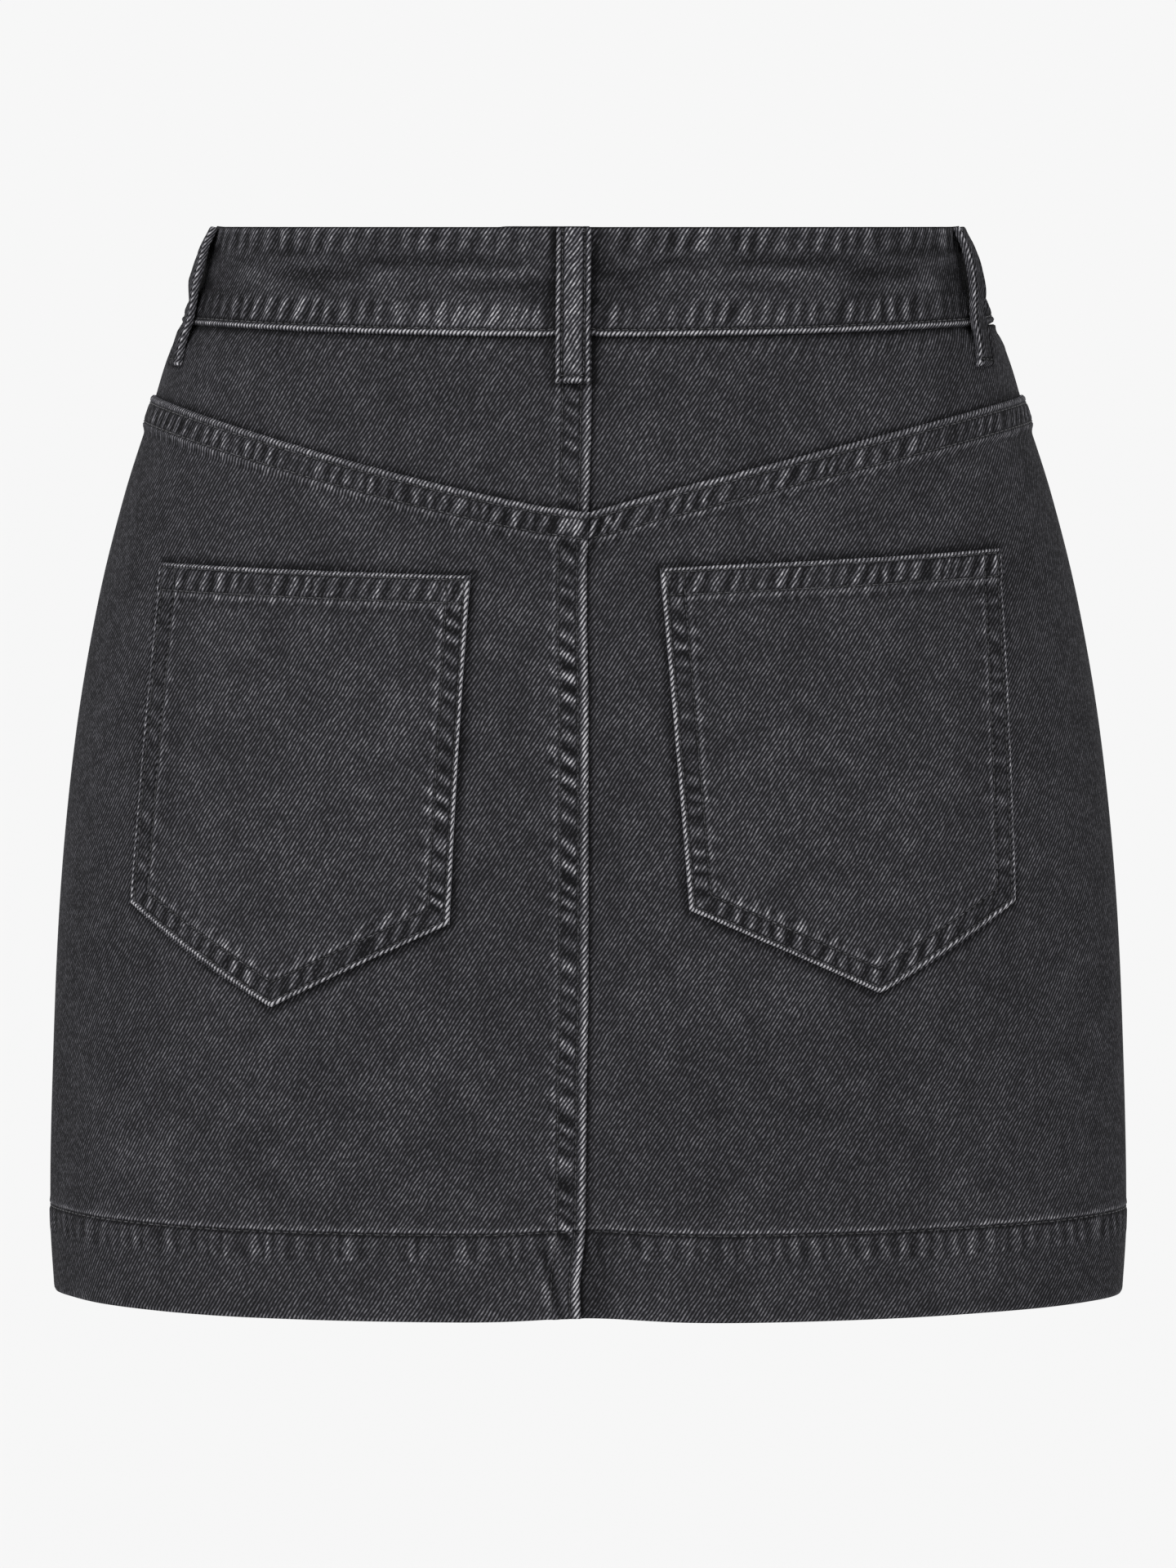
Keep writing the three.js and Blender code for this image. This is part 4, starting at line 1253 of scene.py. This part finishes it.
def floor_look():
    g = Graph("pale_floor")
    tone = g.noise(g.node("ShaderNodeTexCoord", {}, "Object"), 2.0, 3)
    g.shade("Base Color", g.ramp(tone, [
        (0.2, (FLOOR_TONE * 0.998,) * 3), (0.8, (FLOOR_TONE,) * 3),
    ]))
    g.shade("Roughness", 1)
    g.shade("Specular IOR Level", 0)
    return g.material


# The light and the floor, whose tone makes it as bright as the backdrop
BACKDROP = 0.93
KEY_STRENGTH = 1.25
KEY_FROM = (-0.55, -0.72, 0.62)
FLOOR_HEIGHT = -1.2
KEY_SHARE = KEY_STRENGTH * KEY_FROM[2] / math.sqrt(sum(k * k for k in KEY_FROM)) / math.pi
FLOOR_TONE = BACKDROP / (BACKDROP + KEY_SHARE)

# The photograph: its height, the camera's focal length and the middle of the picture below the
# horizon, in its pixels, and its scale and the camera's distance in millimetres
PHOTO_HEIGHT = 1920
FOCAL = 13089.6
MIDDLE_DOWN = 683
PIXEL = 0.306
DISTANCE = 4000


def studio():
    world = bpy.data.worlds.new("soft_light")
    bpy.context.scene.world = world
    world.use_nodes = True
    world.node_tree.nodes["Background"].inputs["Color"].default_value = (BACKDROP, BACKDROP, BACKDROP, 1)
    sun = bpy.data.lights.new("key", "SUN")
    sun.energy = KEY_STRENGTH
    sun.angle = math.radians(50)
    key = bpy.data.objects.new("key", sun)
    key.rotation_mode = "QUATERNION"
    key.rotation_quaternion = Vector(KEY_FROM).to_track_quat("Z", "Y")
    bpy.context.scene.collection.objects.link(key)
    place = (0, 0, FLOOR_HEIGHT)
    bpy.ops.mesh.primitive_circle_add(vertices=96, radius=60, fill_type="NGON", location=place)
    floor = bpy.context.object
    floor.name = "floor"
    floor.data.materials.append(floor_look())
    camera = bpy.data.cameras.new("camera")
    camera.sensor_width = 36
    camera.lens = camera.sensor_width * FOCAL / PHOTO_HEIGHT
    camera.clip_end = 200
    made = bpy.data.objects.new("camera", camera)
    made.location = (0, -DISTANCE * MM, 0)
    made.rotation_euler = (math.pi / 2 - math.atan(MIDDLE_DOWN * PIXEL / DISTANCE), 0, 0)
    bpy.context.scene.collection.objects.link(made)
    bpy.context.scene.camera = made
    bpy.context.scene.view_settings.view_transform = "Standard"


studio()
DENIM = denim_look()
THREAD_LOOK = thread_look()
METAL = metal_look()

for side, word in WORDS.items():
    back_panel(side)
    yoke(side)
    front_panel(side)
    front_band(side)
    pocket(side)
back_band()
for loop in LOOPS:
    belt_loop(*loop)
button()

back_rows, front_rows = seam_rows()
stitches("stitches_back", back_rows)
stitches("stitches_front", front_rows)
stitches("stitches_pockets", pocket_rows("left") + pocket_rows("right"), pitch=2.9)
stitches("stitches_loops", [row for loop in LOOPS for row in loop_rows(*loop)], pitch=2.6)
stitches("stitches_buttonhole", buttonhole_rows(), pitch=1.9, width=0.42)
